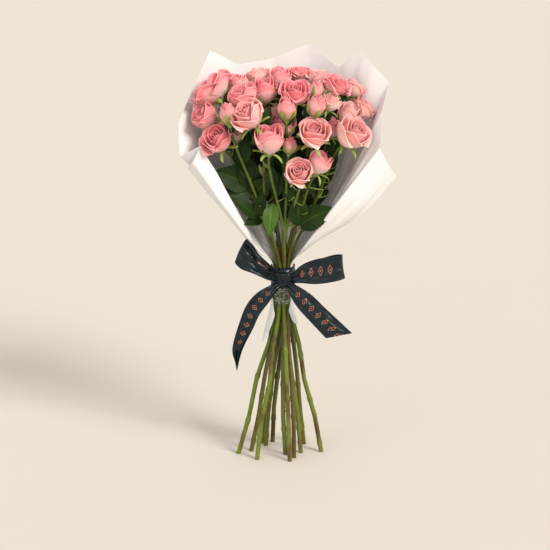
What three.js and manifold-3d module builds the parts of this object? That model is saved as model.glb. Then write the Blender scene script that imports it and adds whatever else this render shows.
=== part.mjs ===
// A hand-tied bunch of spray roses in white paper, with a satin bow at the waist.
// Millimetres, +Z up. The bunch stands on its cut stem ends; -Y is the open front.
import * as THREE from 'three';
import { mergeVertices } from 'three/addons/utils/BufferGeometryUtils.js';
import Module from 'manifold-3d';

const wasm = await Module();
wasm.setup();

// ---- driving sizes -------------------------------------------------------------
const GAP = 0.3; // air left between neighbouring pieces
const FINEST = 0.02; // points of a cut solid are rounded to this, which closes its slivers
const STEM_RADIUS = 2.4;
const BRANCH_RADIUS = 1.4;
const NECK = 12; // straight length of branch under each flower
const TIE_LOW = 180; // height of the bottom of the tie
const TIE_HIGH = 232; // height of the top of the tie
const OUTER_RING = 8.1; // radius of the ring of nine stems in the tie
const INNER_RING = 3.06; // radius of the ring of three stems inside it
const TAPE = { inner: 10.8, outer: 11.25, low: 185, high: 200 };
const BAND = { inner: 13.4, outer: 14.1, low: 203, high: 228 };
const KNOT = { at: [1, -17.6, 215], size: [17, 9.6, 15] };
const PAPER_THICKNESS = 0.5;
const RIBBON_THICKNESS = 0.7;
const LEAF_THICKNESS = 0.9;
const PETIOLE_RADIUS = 0.8;

// ---- colours -------------------------------------------------------------------
const finish = (color, roughness) => new THREE.MeshStandardMaterial({ color, roughness, metalness: 0 });
const PINK = finish(0xe88f93, 0.6);
const GREEN = finish(0x6f8436, 0.55);
const DARK_GREEN = finish(0x2f4a22, 0.5);
const WHITE = finish(0xf1e9df, 0.8);
const TEAL = finish(0x1b2a2e, 0.35);
const CLEAR = finish(0xc9c8b8, 0.3);

// ---- flowers: height and outline as shares of their width -----------------------
const STAGES = {
  bud: { height: 1.45, outline: [[0.24, 0], [0.5, 0.1], [0.94, 0.32], [1, 0.48], [0.72, 0.78], [0.2, 1]] },
  cup: { height: 1.12, outline: [[0.2, 0], [0.32, 0.12], [0.86, 0.36], [1, 0.62], [0.94, 0.86], [0.6, 1]] },
  half: { height: 0.98, outline: [[0.2, 0], [0.32, 0.14], [0.86, 0.4], [1, 0.68], [0.92, 0.9], [0.55, 1]] },
  open: { height: 0.74, outline: [[0.16, 0], [0.26, 0.16], [0.78, 0.4], [1, 0.74], [0.9, 0.94], [0.45, 1]] },
};

// Each stem: the place of its cut end, its place in the tie, how far up it forks, and its
// flowers as [middle, width, lean in degrees, the way it leans (0 right, 90 back), stage].
const STEMS = [
  { foot: [-52, -5], ring: OUTER_RING, turn: 200, fork: 0.42, roses: [
    [[-86, -25, 404], 29, 45, 200, 'half'],
    [[-80, -5, 430], 43, 45, 165, 'open'],
    [[-53, -20, 382], 17, 20, 190, 'cup'],
  ] },
  { foot: [-37, 4], ring: OUTER_RING, turn: 160, fork: 0.45, roses: [
    [[-49, 2, 438], 19, 20, 170, 'cup'],
    [[-63, 25, 432], 24, 35, 150, 'half'],
  ] },
  { foot: [-30, -26], ring: OUTER_RING, turn: 240, fork: 0.36, roses: [
    [[-37, -58, 413], 33, 40, 215, 'half'],
    [[-62, -48, 413], 20, 12, 190, 'bud'],
    [[-72, -42, 382], 31, 45, 235, 'half'],
  ] },
  { foot: [-20, 24], ring: INNER_RING, turn: 140, fork: 0.5, roses: [
    [[-21, -15, 432], 28, 10, 270, 'cup'],
    [[-44, -32, 428], 30, 25, 190, 'half'],
    [[-10, -14, 405], 21, 10, 200, 'cup'],
  ] },
  { foot: [-12, 38], ring: OUTER_RING, turn: 80, fork: 0.5, roses: [
    [[19, 13, 446], 27, 8, 60, 'open'],
    [[2, 38, 434], 26, 30, 95, 'half'],
  ] },
  { foot: [-23, 33], ring: OUTER_RING, turn: 120, fork: 0.5, roses: [
    [[-27, 15, 442], 25, 12, 140, 'half'],
  ] },
  { foot: [8, -32], ring: OUTER_RING, turn: 280, fork: 0.3, roses: [
    [[-16, -60, 385], 32, 14, 270, 'cup'],
    [[7.5, -50, 378], 15.6, 10, 320, 'bud'],
    [[17.5, -62, 349], 27, 45, 265, 'half'],
  ] },
  { foot: [3, -8], ring: INNER_RING, turn: 260, fork: 0.45, roses: [
    [[13, -29, 431], 30, 26, 280, 'half'],
    [[3.5, -49, 419], 21, 8, 270, 'bud'],
    [[-1, -29, 393], 29, 10, 260, 'cup'],
    [[-2, -2, 445], 23, 5, 270, 'cup'],
  ] },
  { foot: [13, -20], ring: OUTER_RING, turn: 320, fork: 0.34, roses: [
    [[34, -55, 391], 33, 35, 280, 'half'],
    [[37, -48, 422], 21, 18, 310, 'bud'],
    [[40, -48, 356], 25.5, 25, 345, 'cup'],
  ] },
  { foot: [21, -2], ring: INNER_RING, turn: 20, fork: 0.48, roses: [
    [[59, -15, 439], 28, 30, 340, 'open'],
    [[37, -22, 434], 20, 10, 0, 'bud'],
    [[52, -35, 423], 20, 22, 330, 'cup'],
    [[54, -26, 392], 22, 25, 310, 'cup'],
  ] },
  { foot: [25, 30], ring: OUTER_RING, turn: 40, fork: 0.45, roses: [
    [[79, 10, 430], 23, 38, 20, 'half'],
    [[39, 2, 443], 22.5, 12, 40, 'half'],
    [[44, 28, 431], 24, 26, 60, 'half'],
  ] },
  { foot: [45, 2], ring: OUTER_RING, turn: 0, fork: 0.4, roses: [
    [[88, 2, 408], 27, 46, 0, 'half'],
    [[73, -18, 404], 27, 30, 350, 'cup'],
    [[75, -44, 389], 35.5, 42, 325, 'half'],
  ] },
];

// Compound leaves: where the stalk starts and ends, the tip of the end leaflet, its width,
// the way its face looks, and the tips of the side leaflets.
const LEAVES = [
  { from: [-22, -17, 292], to: [-40, -26, 328], tip: [-77, -34, 346], width: 30, face: [0.2, -1, 0.3],
    sides: [[-44, -28, 364], [-70, -34, 320], [-16, -34, 338]] },
  { from: [-13, -19, 272], to: [-27, -27, 292], tip: [-58, -37, 316], width: 17, face: [0.1, -1, 0.7],
    sides: [[-24, -32, 322], [-44, -34, 284]] },
  { from: [-7, -17, 296], to: [-12, -33, 309], tip: [-15, -43, 272], width: 18, face: [0.1, -1, 0.2],
    sides: [] },
  { from: [11, -12, 262], to: [19, -24, 281], tip: [58, -37, 303], width: 29, face: [0.2, -1, 0.4],
    sides: [[18, -36, 322]] },
  { from: [-9, 13, 262], to: [-21, 29, 326], tip: [-31, 33, 388], width: 34, face: [0, -1, 0.1],
    sides: [[-54, 26, 350], [4, 36, 362], [-48, 24, 318], [10, 32, 322]] },
  { from: [13, 11, 262], to: [29, 22, 324], tip: [40, 27, 384], width: 34, face: [0, -1, 0.1],
    sides: [[64, 17, 348], [14, 31, 350], [58, 15, 314], [13, 25, 300]] },
];

// Paper sheets: one line of points for each fold, from the skirt under the tie to the top edge.
const LEFT_PAPER = [
  [[-13, -6, 168], [-12.0, -4.1, 190], [-12.1, -4.2, 231], [-28, -14, 246], [-66, -29, 297], [-107, -40, 351]],
  [[-19, -8, 150], [-12.5, -3.2, 190], [-12.6, -3.6, 231], [-27, -18, 247], [-61, -42, 299], [-101, -49, 360]],
  [[-24, -7, 138], [-12.7, -1.6, 190], [-12.9, -1.8, 231], [-25, -15, 248], [-51, -38, 302], [-92, -48, 378]],
  [[-23, -4, 144], [-12.7, -0.2, 190], [-12.9, -0.2, 231], [-26.5, -8, 249], [-64, -23, 303], [-116, -36, 363]],
  [[-21, -1, 150], [-12.6, 1.2, 190], [-12.8, 1.4, 231], [-26, -2, 250], [-62, -14, 312], [-118, -22, 398]],
  [[-16, 5, 168], [-11.7, 4.9, 190], [-11.9, 5.0, 231], [-25, 10, 252], [-64, 12, 318], [-108, 6, 420]],
  [[-12, 10, 174], [-9.2, 8.8, 190], [-9.3, 8.9, 231], [-20, 21, 254], [-52, 32, 325], [-84, 20, 473]],
  [[-6, 14, 176], [-4.6, 11.9, 190], [-4.7, 12.0, 231], [-10, 29, 256], [-30, 50, 335], [-50, 46, 452]],
  [[2, 14, 176], [1.6, 12.7, 190], [1.7, 12.8, 231], [6, 33, 256], [-2, 62, 340], [-12, 64, 456]],
  [[9, 12, 176], [7.1, 10.6, 190], [7.2, 10.8, 231], [18, 31, 256], [28, 62, 340], [30, 60, 473]],
  [[12, 9, 176], [10.2, 7.6, 190], [10.4, 7.9, 231], [28, 26, 256], [56, 52, 335], [66, 50, 446]],
];
const RIGHT_PAPER = [
  [[10, -9, 176], [9.2, -7.6, 190], [9.4, -7.7, 231], [37, -15, 257], [86, -25, 290], [128, -30, 339]],
  [[14, -9, 164], [10.6, -5.4, 190], [10.8, -5.6, 231], [29, -20, 253], [76, -38, 300], [119, -38, 352]],
  [[17, -6, 158], [11.5, -3.1, 190], [11.7, -3.2, 231], [22, -20, 251], [62, -42, 312], [108, -42, 374]],
  [[16, -1, 164], [11.9, -0.6, 190], [12.1, -0.6, 231], [24, -10, 252], [66, -26, 322], [112, -16, 412]],
  [[14, 3, 172], [11.7, 2.2, 190], [11.9, 2.3, 231], [26, 3, 254], [68, -2, 326], [119, 0, 440]],
  [[13, 5, 174], [11.1, 4.4, 190], [11.3, 4.5, 231], [26, 13, 255], [62, 20, 330], [86, 18, 472]],
  [[11, 7, 176], [9.9, 6.5, 190], [10.0, 6.6, 231], [23, 20, 256], [50, 36, 334], [60, 34, 448]],
];

// Ribbon stretches: pairs of edge points, from the knot outwards.
const LEFT_LOOP = [
  [[-6, -20, 211], [-7, -20, 221]], [[-19, -29, 218], [-18, -28, 229]], [[-36, -34, 227], [-30, -33, 239]],
  [[-48, -35, 232], [-37, -34, 249]], [[-55, -32, 239], [-42, -32, 262]], [[-52, -27, 241], [-44, -27, 265]],
  [[-43, -24, 239], [-38, -24, 260]], [[-32, -23, 232], [-29, -23, 248]], [[-20, -22, 224], [-18, -21, 236]],
  [[-8, -18, 216], [-8, -18, 226]],
];
const RIGHT_LOOP = [
  [[9, -20, 211], [9, -20, 221]], [[22, -27, 213], [22, -27, 235]], [[36, -31, 213], [36, -31, 242]],
  [[52, -32, 215], [50, -32, 245]], [[67, -30, 218], [64, -30, 246]], [[70, -25, 219], [67, -25, 246]],
  [[62, -21, 218], [60, -21, 245]], [[46, -18, 215], [45, -18, 240]], [[28, -17, 214], [28, -17, 231]],
  [[12, -17, 214], [12, -17, 222]],
];
const LEFT_TAIL = [
  [[-7, -21, 213], [-4, -21, 206]], [[-17, -26, 209], [-10, -27, 199]], [[-29, -30, 203], [-17, -30, 190]],
  [[-41, -33, 190], [-27, -33, 177]], [[-50, -35, 168], [-34, -35, 162]], [[-58, -36, 136], [-47, -36, 135]],
  [[-55, -36, 122], [-53, -36, 111]],
];
const RIGHT_TAIL = [
  [[8, -21, 213], [3, -21, 206]], [[19, -26, 208], [9, -26, 196]], [[31, -29, 201], [17, -30, 184]],
  [[48, -32, 185], [31, -33, 169]], [[79, -36, 156], [49, -36, 150]],
];

// ---- solids and booleans ---------------------------------------------------------
function toSolid(geometry) {
  geometry.deleteAttribute('normal');
  geometry.deleteAttribute('uv');
  const merged = mergeVertices(geometry, 1e-4);
  return new wasm.Manifold(new wasm.Mesh({
    numProp: 3,
    vertProperties: new Float32Array(merged.attributes.position.array),
    triVerts: new Uint32Array(merged.index.array),
  }));
}

function toGeometry(solid) {
  const mesh = solid.getMesh();
  const geometry = new THREE.BufferGeometry();
  geometry.setAttribute('position', new THREE.BufferAttribute(new Float32Array(mesh.vertProperties), 3));
  geometry.setIndex(new THREE.BufferAttribute(new Uint32Array(mesh.triVerts), 1));
  return geometry;
}

function boxesMeet(a, b) {
  const [p, q] = [a.boundingBox(), b.boundingBox()];
  return [0, 1, 2].every((k) => p.min[k] < q.max[k] && q.min[k] < p.max[k]);
}

// The solid with its points rounded and its closed-up triangles dropped, or as it was if
// rounding would open it.
function rounded(solid) {
  const mesh = solid.simplify(FINEST).getMesh();
  const geometry = new THREE.BufferGeometry();
  const snapped = Float32Array.from(mesh.vertProperties, (value) => Math.round(value / FINEST) * FINEST);
  geometry.setAttribute('position', new THREE.BufferAttribute(snapped, 3));
  geometry.setIndex(new THREE.BufferAttribute(new Uint32Array(mesh.triVerts), 1));
  const merged = mergeVertices(geometry, FINEST / 10);
  const kept = [];
  const ids = merged.index.array;
  for (let t = 0; t < ids.length; t += 3) {
    const corners = [ids[t], ids[t + 1], ids[t + 2]];
    if (new Set(corners).size === 3) kept.push(...corners);
  }
  try {
    const vertProperties = new Float32Array(merged.attributes.position.array);
    return new wasm.Manifold(new wasm.Mesh({ numProp: 3, vertProperties, triVerts: new Uint32Array(kept) }));
  } catch {
    return solid;
  }
}

// The solid less every keep-out it meets, as one piece without the crumbs.
function clearOf(solid, keepOuts) {
  let rest = solid;
  for (const other of keepOuts) {
    if (boxesMeet(rest, other)) rest = rest.subtract(other);
  }
  const parts = rest.decompose();
  return parts.reduce((best, part) => (part.volume() > best.volume() ? part : best), parts[0]);
}

// ---- shape makers ----------------------------------------------------------------
const vector = (p) => new THREE.Vector3(...p);
const smooth = (points) => new THREE.CatmullRomCurve3(points, false, 'centripetal');

function polygon(radius, sides) {
  const corners = Array.from({ length: sides }, (_, k) => (2 * Math.PI * k) / sides);
  return new THREE.Shape(corners.map((a) => new THREE.Vector2(radius * Math.cos(a), radius * Math.sin(a))));
}

function tube(points, radius, steps, sides = 6) {
  const path = { extrudePath: smooth(points), steps, bevelEnabled: false };
  return toSolid(new THREE.ExtrudeGeometry(polygon(radius, sides), path));
}

function ring({ inner, outer, low, high }, segments = 24) {
  const corners = [[inner, low], [outer, low], [outer, high], [inner, high], [inner, low]];
  const profile = corners.map((c) => new THREE.Vector2(...c));
  return toSolid(new THREE.LatheGeometry(profile, segments).rotateX(Math.PI / 2));
}

function direction(lean, towards) {
  const [t, a] = [lean, towards].map(THREE.MathUtils.degToRad);
  return new THREE.Vector3(Math.sin(t) * Math.cos(a), Math.sin(t) * Math.sin(a), Math.cos(t));
}

// A closed sheet of even thickness through a net of points (lines of points side by side).
function sheet(net, across, along, thickness) {
  const lines = net.map((line) => smooth(line.map(vector)));
  const rows = Array.from({ length: along + 1 }, (_, j) => {
    const points = lines.map((line) => line.getPoint(j / along));
    const cross = points.length > 2 ? smooth(points) : new THREE.LineCurve3(...points);
    return Array.from({ length: across + 1 }, (_, i) => cross.getPoint(i / across));
  });
  const at = (i, j) => rows[THREE.MathUtils.clamp(j, 0, along)][THREE.MathUtils.clamp(i, 0, across)];
  const positions = [];
  for (const side of [0.5, -0.5]) {
    for (let j = 0; j <= along; j++) {
      for (let i = 0; i <= across; i++) {
        const u = at(i + 1, j).clone().sub(at(i - 1, j));
        const v = at(i, j + 1).clone().sub(at(i, j - 1));
        const normal = u.cross(v).normalize();
        positions.push(...at(i, j).clone().addScaledVector(normal, side * thickness).toArray());
      }
    }
  }
  const layer = (across + 1) * (along + 1);
  const id = (i, j, under = 0) => under * layer + j * (across + 1) + i;
  const index = [];
  const quad = (a, b, c, d) => index.push(a, b, c, a, c, d);
  for (let j = 0; j < along; j++) {
    for (let i = 0; i < across; i++) {
      quad(id(i, j), id(i + 1, j), id(i + 1, j + 1), id(i, j + 1));
      quad(id(i, j, 1), id(i, j + 1, 1), id(i + 1, j + 1, 1), id(i + 1, j, 1));
    }
    quad(id(0, j, 1), id(0, j), id(0, j + 1), id(0, j + 1, 1));
    quad(id(across, j), id(across, j, 1), id(across, j + 1, 1), id(across, j + 1));
  }
  for (let i = 0; i < across; i++) {
    quad(id(i, 0, 1), id(i + 1, 0, 1), id(i + 1, 0), id(i, 0));
    quad(id(i, along), id(i + 1, along), id(i + 1, along, 1), id(i, along, 1));
  }
  const geometry = new THREE.BufferGeometry();
  geometry.setAttribute('position', new THREE.Float32BufferAttribute(positions, 3));
  geometry.setIndex(index);
  return toSolid(geometry);
}

const edge = (pairs, k) => pairs.map((pair) => pair[k]);
const ribbon = (pairs, steps, thickness = RIBBON_THICKNESS) =>
  sheet([edge(pairs, 0), edge(pairs, 1)], 1, steps, thickness);

// ---- flowers ---------------------------------------------------------------------
function flowerSeat([middle, width, lean, towards, stage]) {
  const axis = direction(lean, towards);
  const height = STAGES[stage].height * width;
  return { axis, height, base: vector(middle).addScaledVector(axis, -height / 2) };
}

function flower(rose, grow = 0) {
  const [, width, , , stage] = rose;
  const { axis, height, base } = flowerSeat(rose);
  const profile = STAGES[stage].outline.map(([r, h]) => {
    const radius = (r * width) / 2 + grow;
    return new THREE.Vector2(radius, h * height + (h > 0.95 ? grow : 0) - (h < 0.05 ? grow : 0));
  });
  profile.unshift(new THREE.Vector2(0, profile[0].y));
  profile.push(new THREE.Vector2(0, height * 0.97 + grow));
  const turn = new THREE.Quaternion().setFromUnitVectors(new THREE.Vector3(0, 1, 0), axis);
  const geometry = new THREE.LatheGeometry(profile, 9).applyQuaternion(turn);
  return toSolid(geometry.translate(base.x, base.y, base.z));
}

// ---- stems -----------------------------------------------------------------------
function stemPaths({ foot, ring: radius, turn, fork, roses }) {
  const angle = THREE.MathUtils.degToRad(turn);
  const inTie = (z) => new THREE.Vector3(radius * Math.cos(angle), radius * Math.sin(angle), z);
  const seats = roses.map(flowerSeat);
  const centre = seats.reduce((sum, s) => sum.add(s.base), new THREE.Vector3()).divideScalar(seats.length);
  const forkPoint = inTie(TIE_HIGH).lerp(centre, fork);
  const ground = new THREE.Vector3(foot[0], foot[1], 0);
  const under = ground.clone().lerp(inTie(TIE_LOW), -0.02);
  const knee = ground.clone().lerp(inTie(TIE_LOW), 0.55);
  const trunk = [under, knee, inTie(TIE_LOW), inTie(TIE_HIGH), forkPoint];
  const branches = seats.map(({ axis, base }) => {
    const neck = base.clone().addScaledVector(axis, -NECK);
    const end = base.clone().addScaledVector(axis, -GAP);
    return [forkPoint, forkPoint.clone().lerp(neck, 0.55), neck, end];
  });
  return { trunk, branches };
}

function stem(plan, grow = 0) {
  const { trunk, branches } = stemPaths(plan);
  let solid = tube(trunk, STEM_RADIUS + grow, 11);
  for (const branch of branches) solid = solid.add(tube(branch, BRANCH_RADIUS + grow, 5));
  return grow ? solid : solid.trimByPlane([0, 0, 1], 0);
}

// ---- leaves ----------------------------------------------------------------------
function leaflet(from, to, width, face, grow = 0) {
  const along = to.clone().sub(from);
  const length = along.length() + grow;
  const half = width / 2 + grow;
  const outline = new THREE.Shape();
  outline.moveTo(-grow, -0.8 - grow);
  outline.quadraticCurveTo(length * 0.12, -half * 1.25, length * 0.5, -half);
  outline.quadraticCurveTo(length * 0.82, -half * 0.75, length, 0);
  outline.quadraticCurveTo(length * 0.82, half * 0.75, length * 0.5, half);
  outline.quadraticCurveTo(length * 0.12, half * 1.25, -grow, 0.8 + grow);
  const depth = LEAF_THICKNESS + 2 * grow;
  const blade = new THREE.ExtrudeGeometry(outline, { depth, curveSegments: 3, bevelEnabled: false });
  const x = along.normalize();
  const y = face.clone().cross(x).normalize();
  const z = x.clone().cross(y);
  const place = new THREE.Matrix4().makeBasis(x, y, z).setPosition(from);
  return toSolid(blade.translate(0, 0, -depth / 2).applyMatrix4(place));
}

function leaf({ from, to, tip, width, face, sides }, grow = 0) {
  const [start, joint, end, look] = [from, to, tip, face].map(vector);
  const bend = start.clone().lerp(joint, 0.5).add(new THREE.Vector3(0, 0, -2));
  let solid = tube([start, bend, joint], PETIOLE_RADIUS + grow, 4);
  solid = solid.add(leaflet(start.clone().lerp(joint, 0.94), end, width, look, grow));
  sides.forEach((side, k) => {
    const root = start.clone().lerp(joint, 0.92 - 0.16 * k);
    solid = solid.add(leaflet(root, vector(side), width * 0.8, look, grow));
  });
  return solid;
}

// ---- the bunch -------------------------------------------------------------------
const bunch = new THREE.Group();
const two = (n) => String(n).padStart(2, '0');

function place(name, solid, material) {
  const mesh = new THREE.Mesh(toGeometry(rounded(solid)), material);
  mesh.name = name;
  bunch.add(mesh);
  return solid;
}

place('binding_tape', ring(TAPE), CLEAR);

const knotShape = (grow) => {
  const [w, d, h] = KNOT.size.map((s) => s / 2 + grow);
  return toSolid(new THREE.SphereGeometry(1, 12, 8).scale(w, d, h).translate(...KNOT.at));
};
const bandKeepOut = ring({ inner: 5, outer: BAND.outer + GAP, low: BAND.low - 1, high: BAND.high + 1 });
const bandHollow = ring({ inner: 5, outer: BAND.inner, low: BAND.low - 1, high: BAND.high + 1 });
place('ribbon_band_and_knot', ring(BAND).add(knotShape(0).subtract(bandHollow)), TEAL);
const bowKeepOuts = [bandKeepOut, knotShape(GAP)];
const stretches = { ribbon_loop_left: LEFT_LOOP, ribbon_loop_right: RIGHT_LOOP, ribbon_tail_left: LEFT_TAIL,
  ribbon_tail_right: RIGHT_TAIL };
for (const [name, pairs] of Object.entries(stretches)) {
  place(name, clearOf(ribbon(pairs, 2 * pairs.length), bowKeepOuts), TEAL);
  bowKeepOuts.push(ribbon(pairs, 2 * pairs.length, RIBBON_THICKNESS + 2 * GAP));
}

// Each line of a sheet runs straight through the tie, by way of a point halfway up it.
const throughTie = (net) => net.map(([skirt, low, high, ...rest]) => {
  const half = vector(low).lerp(vector(high), 0.5).toArray();
  return [skirt, low, half, high, ...rest];
});
const papers = [['paper_left', throughTie(LEFT_PAPER), 18], ['paper_right', throughTie(RIGHT_PAPER), 12]];
const paperKeepOuts = papers.map(([, net, across]) => sheet(net, across, 12, PAPER_THICKNESS + 2 * GAP));
for (const [name, net, across] of papers) place(name, sheet(net, across, 12, PAPER_THICKNESS), WHITE);

const stemKeepOuts = [];
STEMS.forEach((plan, k) => {
  place(`stem_${two(k + 1)}`, clearOf(stem(plan), stemKeepOuts), GREEN);
  stemKeepOuts.push(stem(plan, GAP));
});

const roseKeepOuts = [];
STEMS.forEach((plan, k) => {
  plan.roses.forEach((rose, r) => {
    const name = `rose_${two(k + 1)}${'abcd'[r]}`;
    place(name, clearOf(flower(rose), [...stemKeepOuts, ...paperKeepOuts, ...roseKeepOuts]), PINK);
    roseKeepOuts.push(flower(rose, GAP));
  });
});

const leafKeepOuts = [];
LEAVES.forEach((plan, k) => {
  const others = [...stemKeepOuts, ...roseKeepOuts, ...paperKeepOuts, ...leafKeepOuts];
  place(`leaf_${two(k + 1)}`, clearOf(leaf(plan), others), DARK_GREEN);
  leafKeepOuts.push(leaf(plan, GAP));
});

// Put the middle of the bunch's box over the origin, with the cut ends on the ground.
const box = new THREE.Box3().setFromObject(bunch);
const middle = box.getCenter(new THREE.Vector3());
bunch.position.set(-middle.x, -middle.y, -box.min.z);

export default bunch;
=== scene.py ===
"""A hand-tied bunch of pink spray roses in white paper, tied with a dark satin bow.

The part's own frame places everything: its binding tape marks the axis of the bunch. All sizes in
this file are in millimetres from that axis, with +Z up from the cut stem ends and -Y at the open
front.
"""

import logging
import math
from collections.abc import Callable
from dataclasses import dataclass
from enum import Enum
from typing import Any

import bpy
import numpy as np
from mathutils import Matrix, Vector, noise
from mathutils.bvhtree import BVHTree


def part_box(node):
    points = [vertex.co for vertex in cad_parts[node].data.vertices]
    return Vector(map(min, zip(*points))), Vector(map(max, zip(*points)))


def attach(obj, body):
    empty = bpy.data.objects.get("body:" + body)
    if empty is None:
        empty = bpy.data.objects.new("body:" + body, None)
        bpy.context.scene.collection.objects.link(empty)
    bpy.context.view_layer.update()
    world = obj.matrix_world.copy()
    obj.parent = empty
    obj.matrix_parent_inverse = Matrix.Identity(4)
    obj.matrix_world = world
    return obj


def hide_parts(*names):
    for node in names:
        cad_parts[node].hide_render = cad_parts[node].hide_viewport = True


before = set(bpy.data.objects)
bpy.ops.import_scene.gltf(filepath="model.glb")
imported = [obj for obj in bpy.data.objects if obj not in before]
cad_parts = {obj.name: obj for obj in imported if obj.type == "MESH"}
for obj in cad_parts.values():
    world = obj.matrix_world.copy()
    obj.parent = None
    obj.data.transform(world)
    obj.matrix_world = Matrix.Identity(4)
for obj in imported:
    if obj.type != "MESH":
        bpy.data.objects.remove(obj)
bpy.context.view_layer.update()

MM = 0.001
NO_ZERO = 1e-9
LOG = logging.getLogger("bunch")
Point = tuple[float, float, float]
Press = Callable[[np.ndarray], np.ndarray]
Tree = bpy.types.NodeTree
Socket = bpy.types.NodeSocket


def bunch_axis() -> np.ndarray:
    """Returns the foot of the bunch's axis in the row frame, in metres."""
    low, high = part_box("binding_tape")
    return np.array([(low.x + high.x) / 2, (low.y + high.y) / 2, 0.0])


AXIS = bunch_axis()


def in_row(points: Any) -> np.ndarray:
    """Returns points in millimetres from the bunch's axis as points of the row frame in metres."""
    return np.asarray(points, float) * MM + AXIS


# ---------------------------------------------------------------------------------------------
# Colours and node materials
# ---------------------------------------------------------------------------------------------


def linear(hex_colour: str) -> tuple[float, float, float, float]:
    """Turns an sRGB hex colour, such as "#e88f93", into the linear RGBA that shaders use."""
    parts = [int(hex_colour[k : k + 2], 16) / 255 for k in (1, 3, 5)]
    return (*[c / 12.92 if c <= 0.04045 else ((c + 0.055) / 1.055) ** 2.4 for c in parts], 1.0)


def node(tree: Tree, kind: str, inputs: dict[Any, Any], out: Any = 0, **settings: Any) -> Any:
    """Adds one node with its settings and links.

    Args:
        tree: the tree that gets the node.
        kind: the node's type without its "ShaderNode" start.
        inputs: a value, hex colour or output socket for each named or numbered input.
        out: the name or number of the output to hand back.
        settings: the node's own settings. "stops" sets a colour ramp's stops as (place, hex).

    Returns:
        The output socket, or None from a node without outputs.
    """
    made = tree.nodes.new("ShaderNode" + kind)
    for name, value in settings.items():
        if name == "stops":
            ramp = made.color_ramp
            while len(ramp.elements) < len(value):
                ramp.elements.new(0.5)
            for element, (place, colour) in zip(ramp.elements, value):
                element.position = place
                element.color = linear(colour)
        else:
            setattr(made, name, value)
    for name, value in inputs.items():
        if isinstance(value, bpy.types.NodeSocket):
            tree.links.new(value, made.inputs[name])
        else:
            made.inputs[name].default_value = linear(value) if isinstance(value, str) else value
    return made.outputs[out] if made.outputs else None


@dataclass(frozen=True)
class Finish:
    """What every finish shares: a name, a shader's plain sockets and the graph that colours it.

    Attributes:
        name: the material's name.
        roughness: how matt the surface is, from 0 to 1.
        sockets: the names and values of the shader's other plain sockets.
    """

    name: str
    roughness: float = 0.5
    sockets: tuple[tuple[str, Any], ...] = ()

    def colour(self, tree: Tree) -> Socket:
        """Returns the socket that gives the base colour."""
        raise NotImplementedError

    def height(self, tree: Tree) -> tuple[Socket, float] | None:
        """Returns the bump's height socket and its depth in metres, or None."""
        return None

    def extras(self, tree: Tree, shader: bpy.types.Node) -> None:
        """Adds what only this finish drives from nodes."""

    def material(self) -> bpy.types.Material:
        """Makes the finish's material the first time it is asked for.

        Returns:
            The material.
        """
        if self.name in bpy.data.materials:
            return bpy.data.materials[self.name]
        made = bpy.data.materials.new(self.name)
        made.use_nodes = True
        tree = made.node_tree
        tree.nodes.clear()
        inputs: dict[Any, Any] = {"Base Color": self.colour(tree), "Roughness": self.roughness}
        inputs.update(dict(self.sockets))
        bumps = self.height(tree)
        if bumps:
            socket, depth = bumps
            bump = {"Height": socket, "Distance": depth, "Strength": 1.0}
            inputs["Normal"] = node(tree, "Bump", bump)
        shaded = node(tree, "BsdfPrincipled", inputs)
        self.extras(tree, shaded.node)
        node(tree, "OutputMaterial", {"Surface": shaded})
        return made


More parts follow.
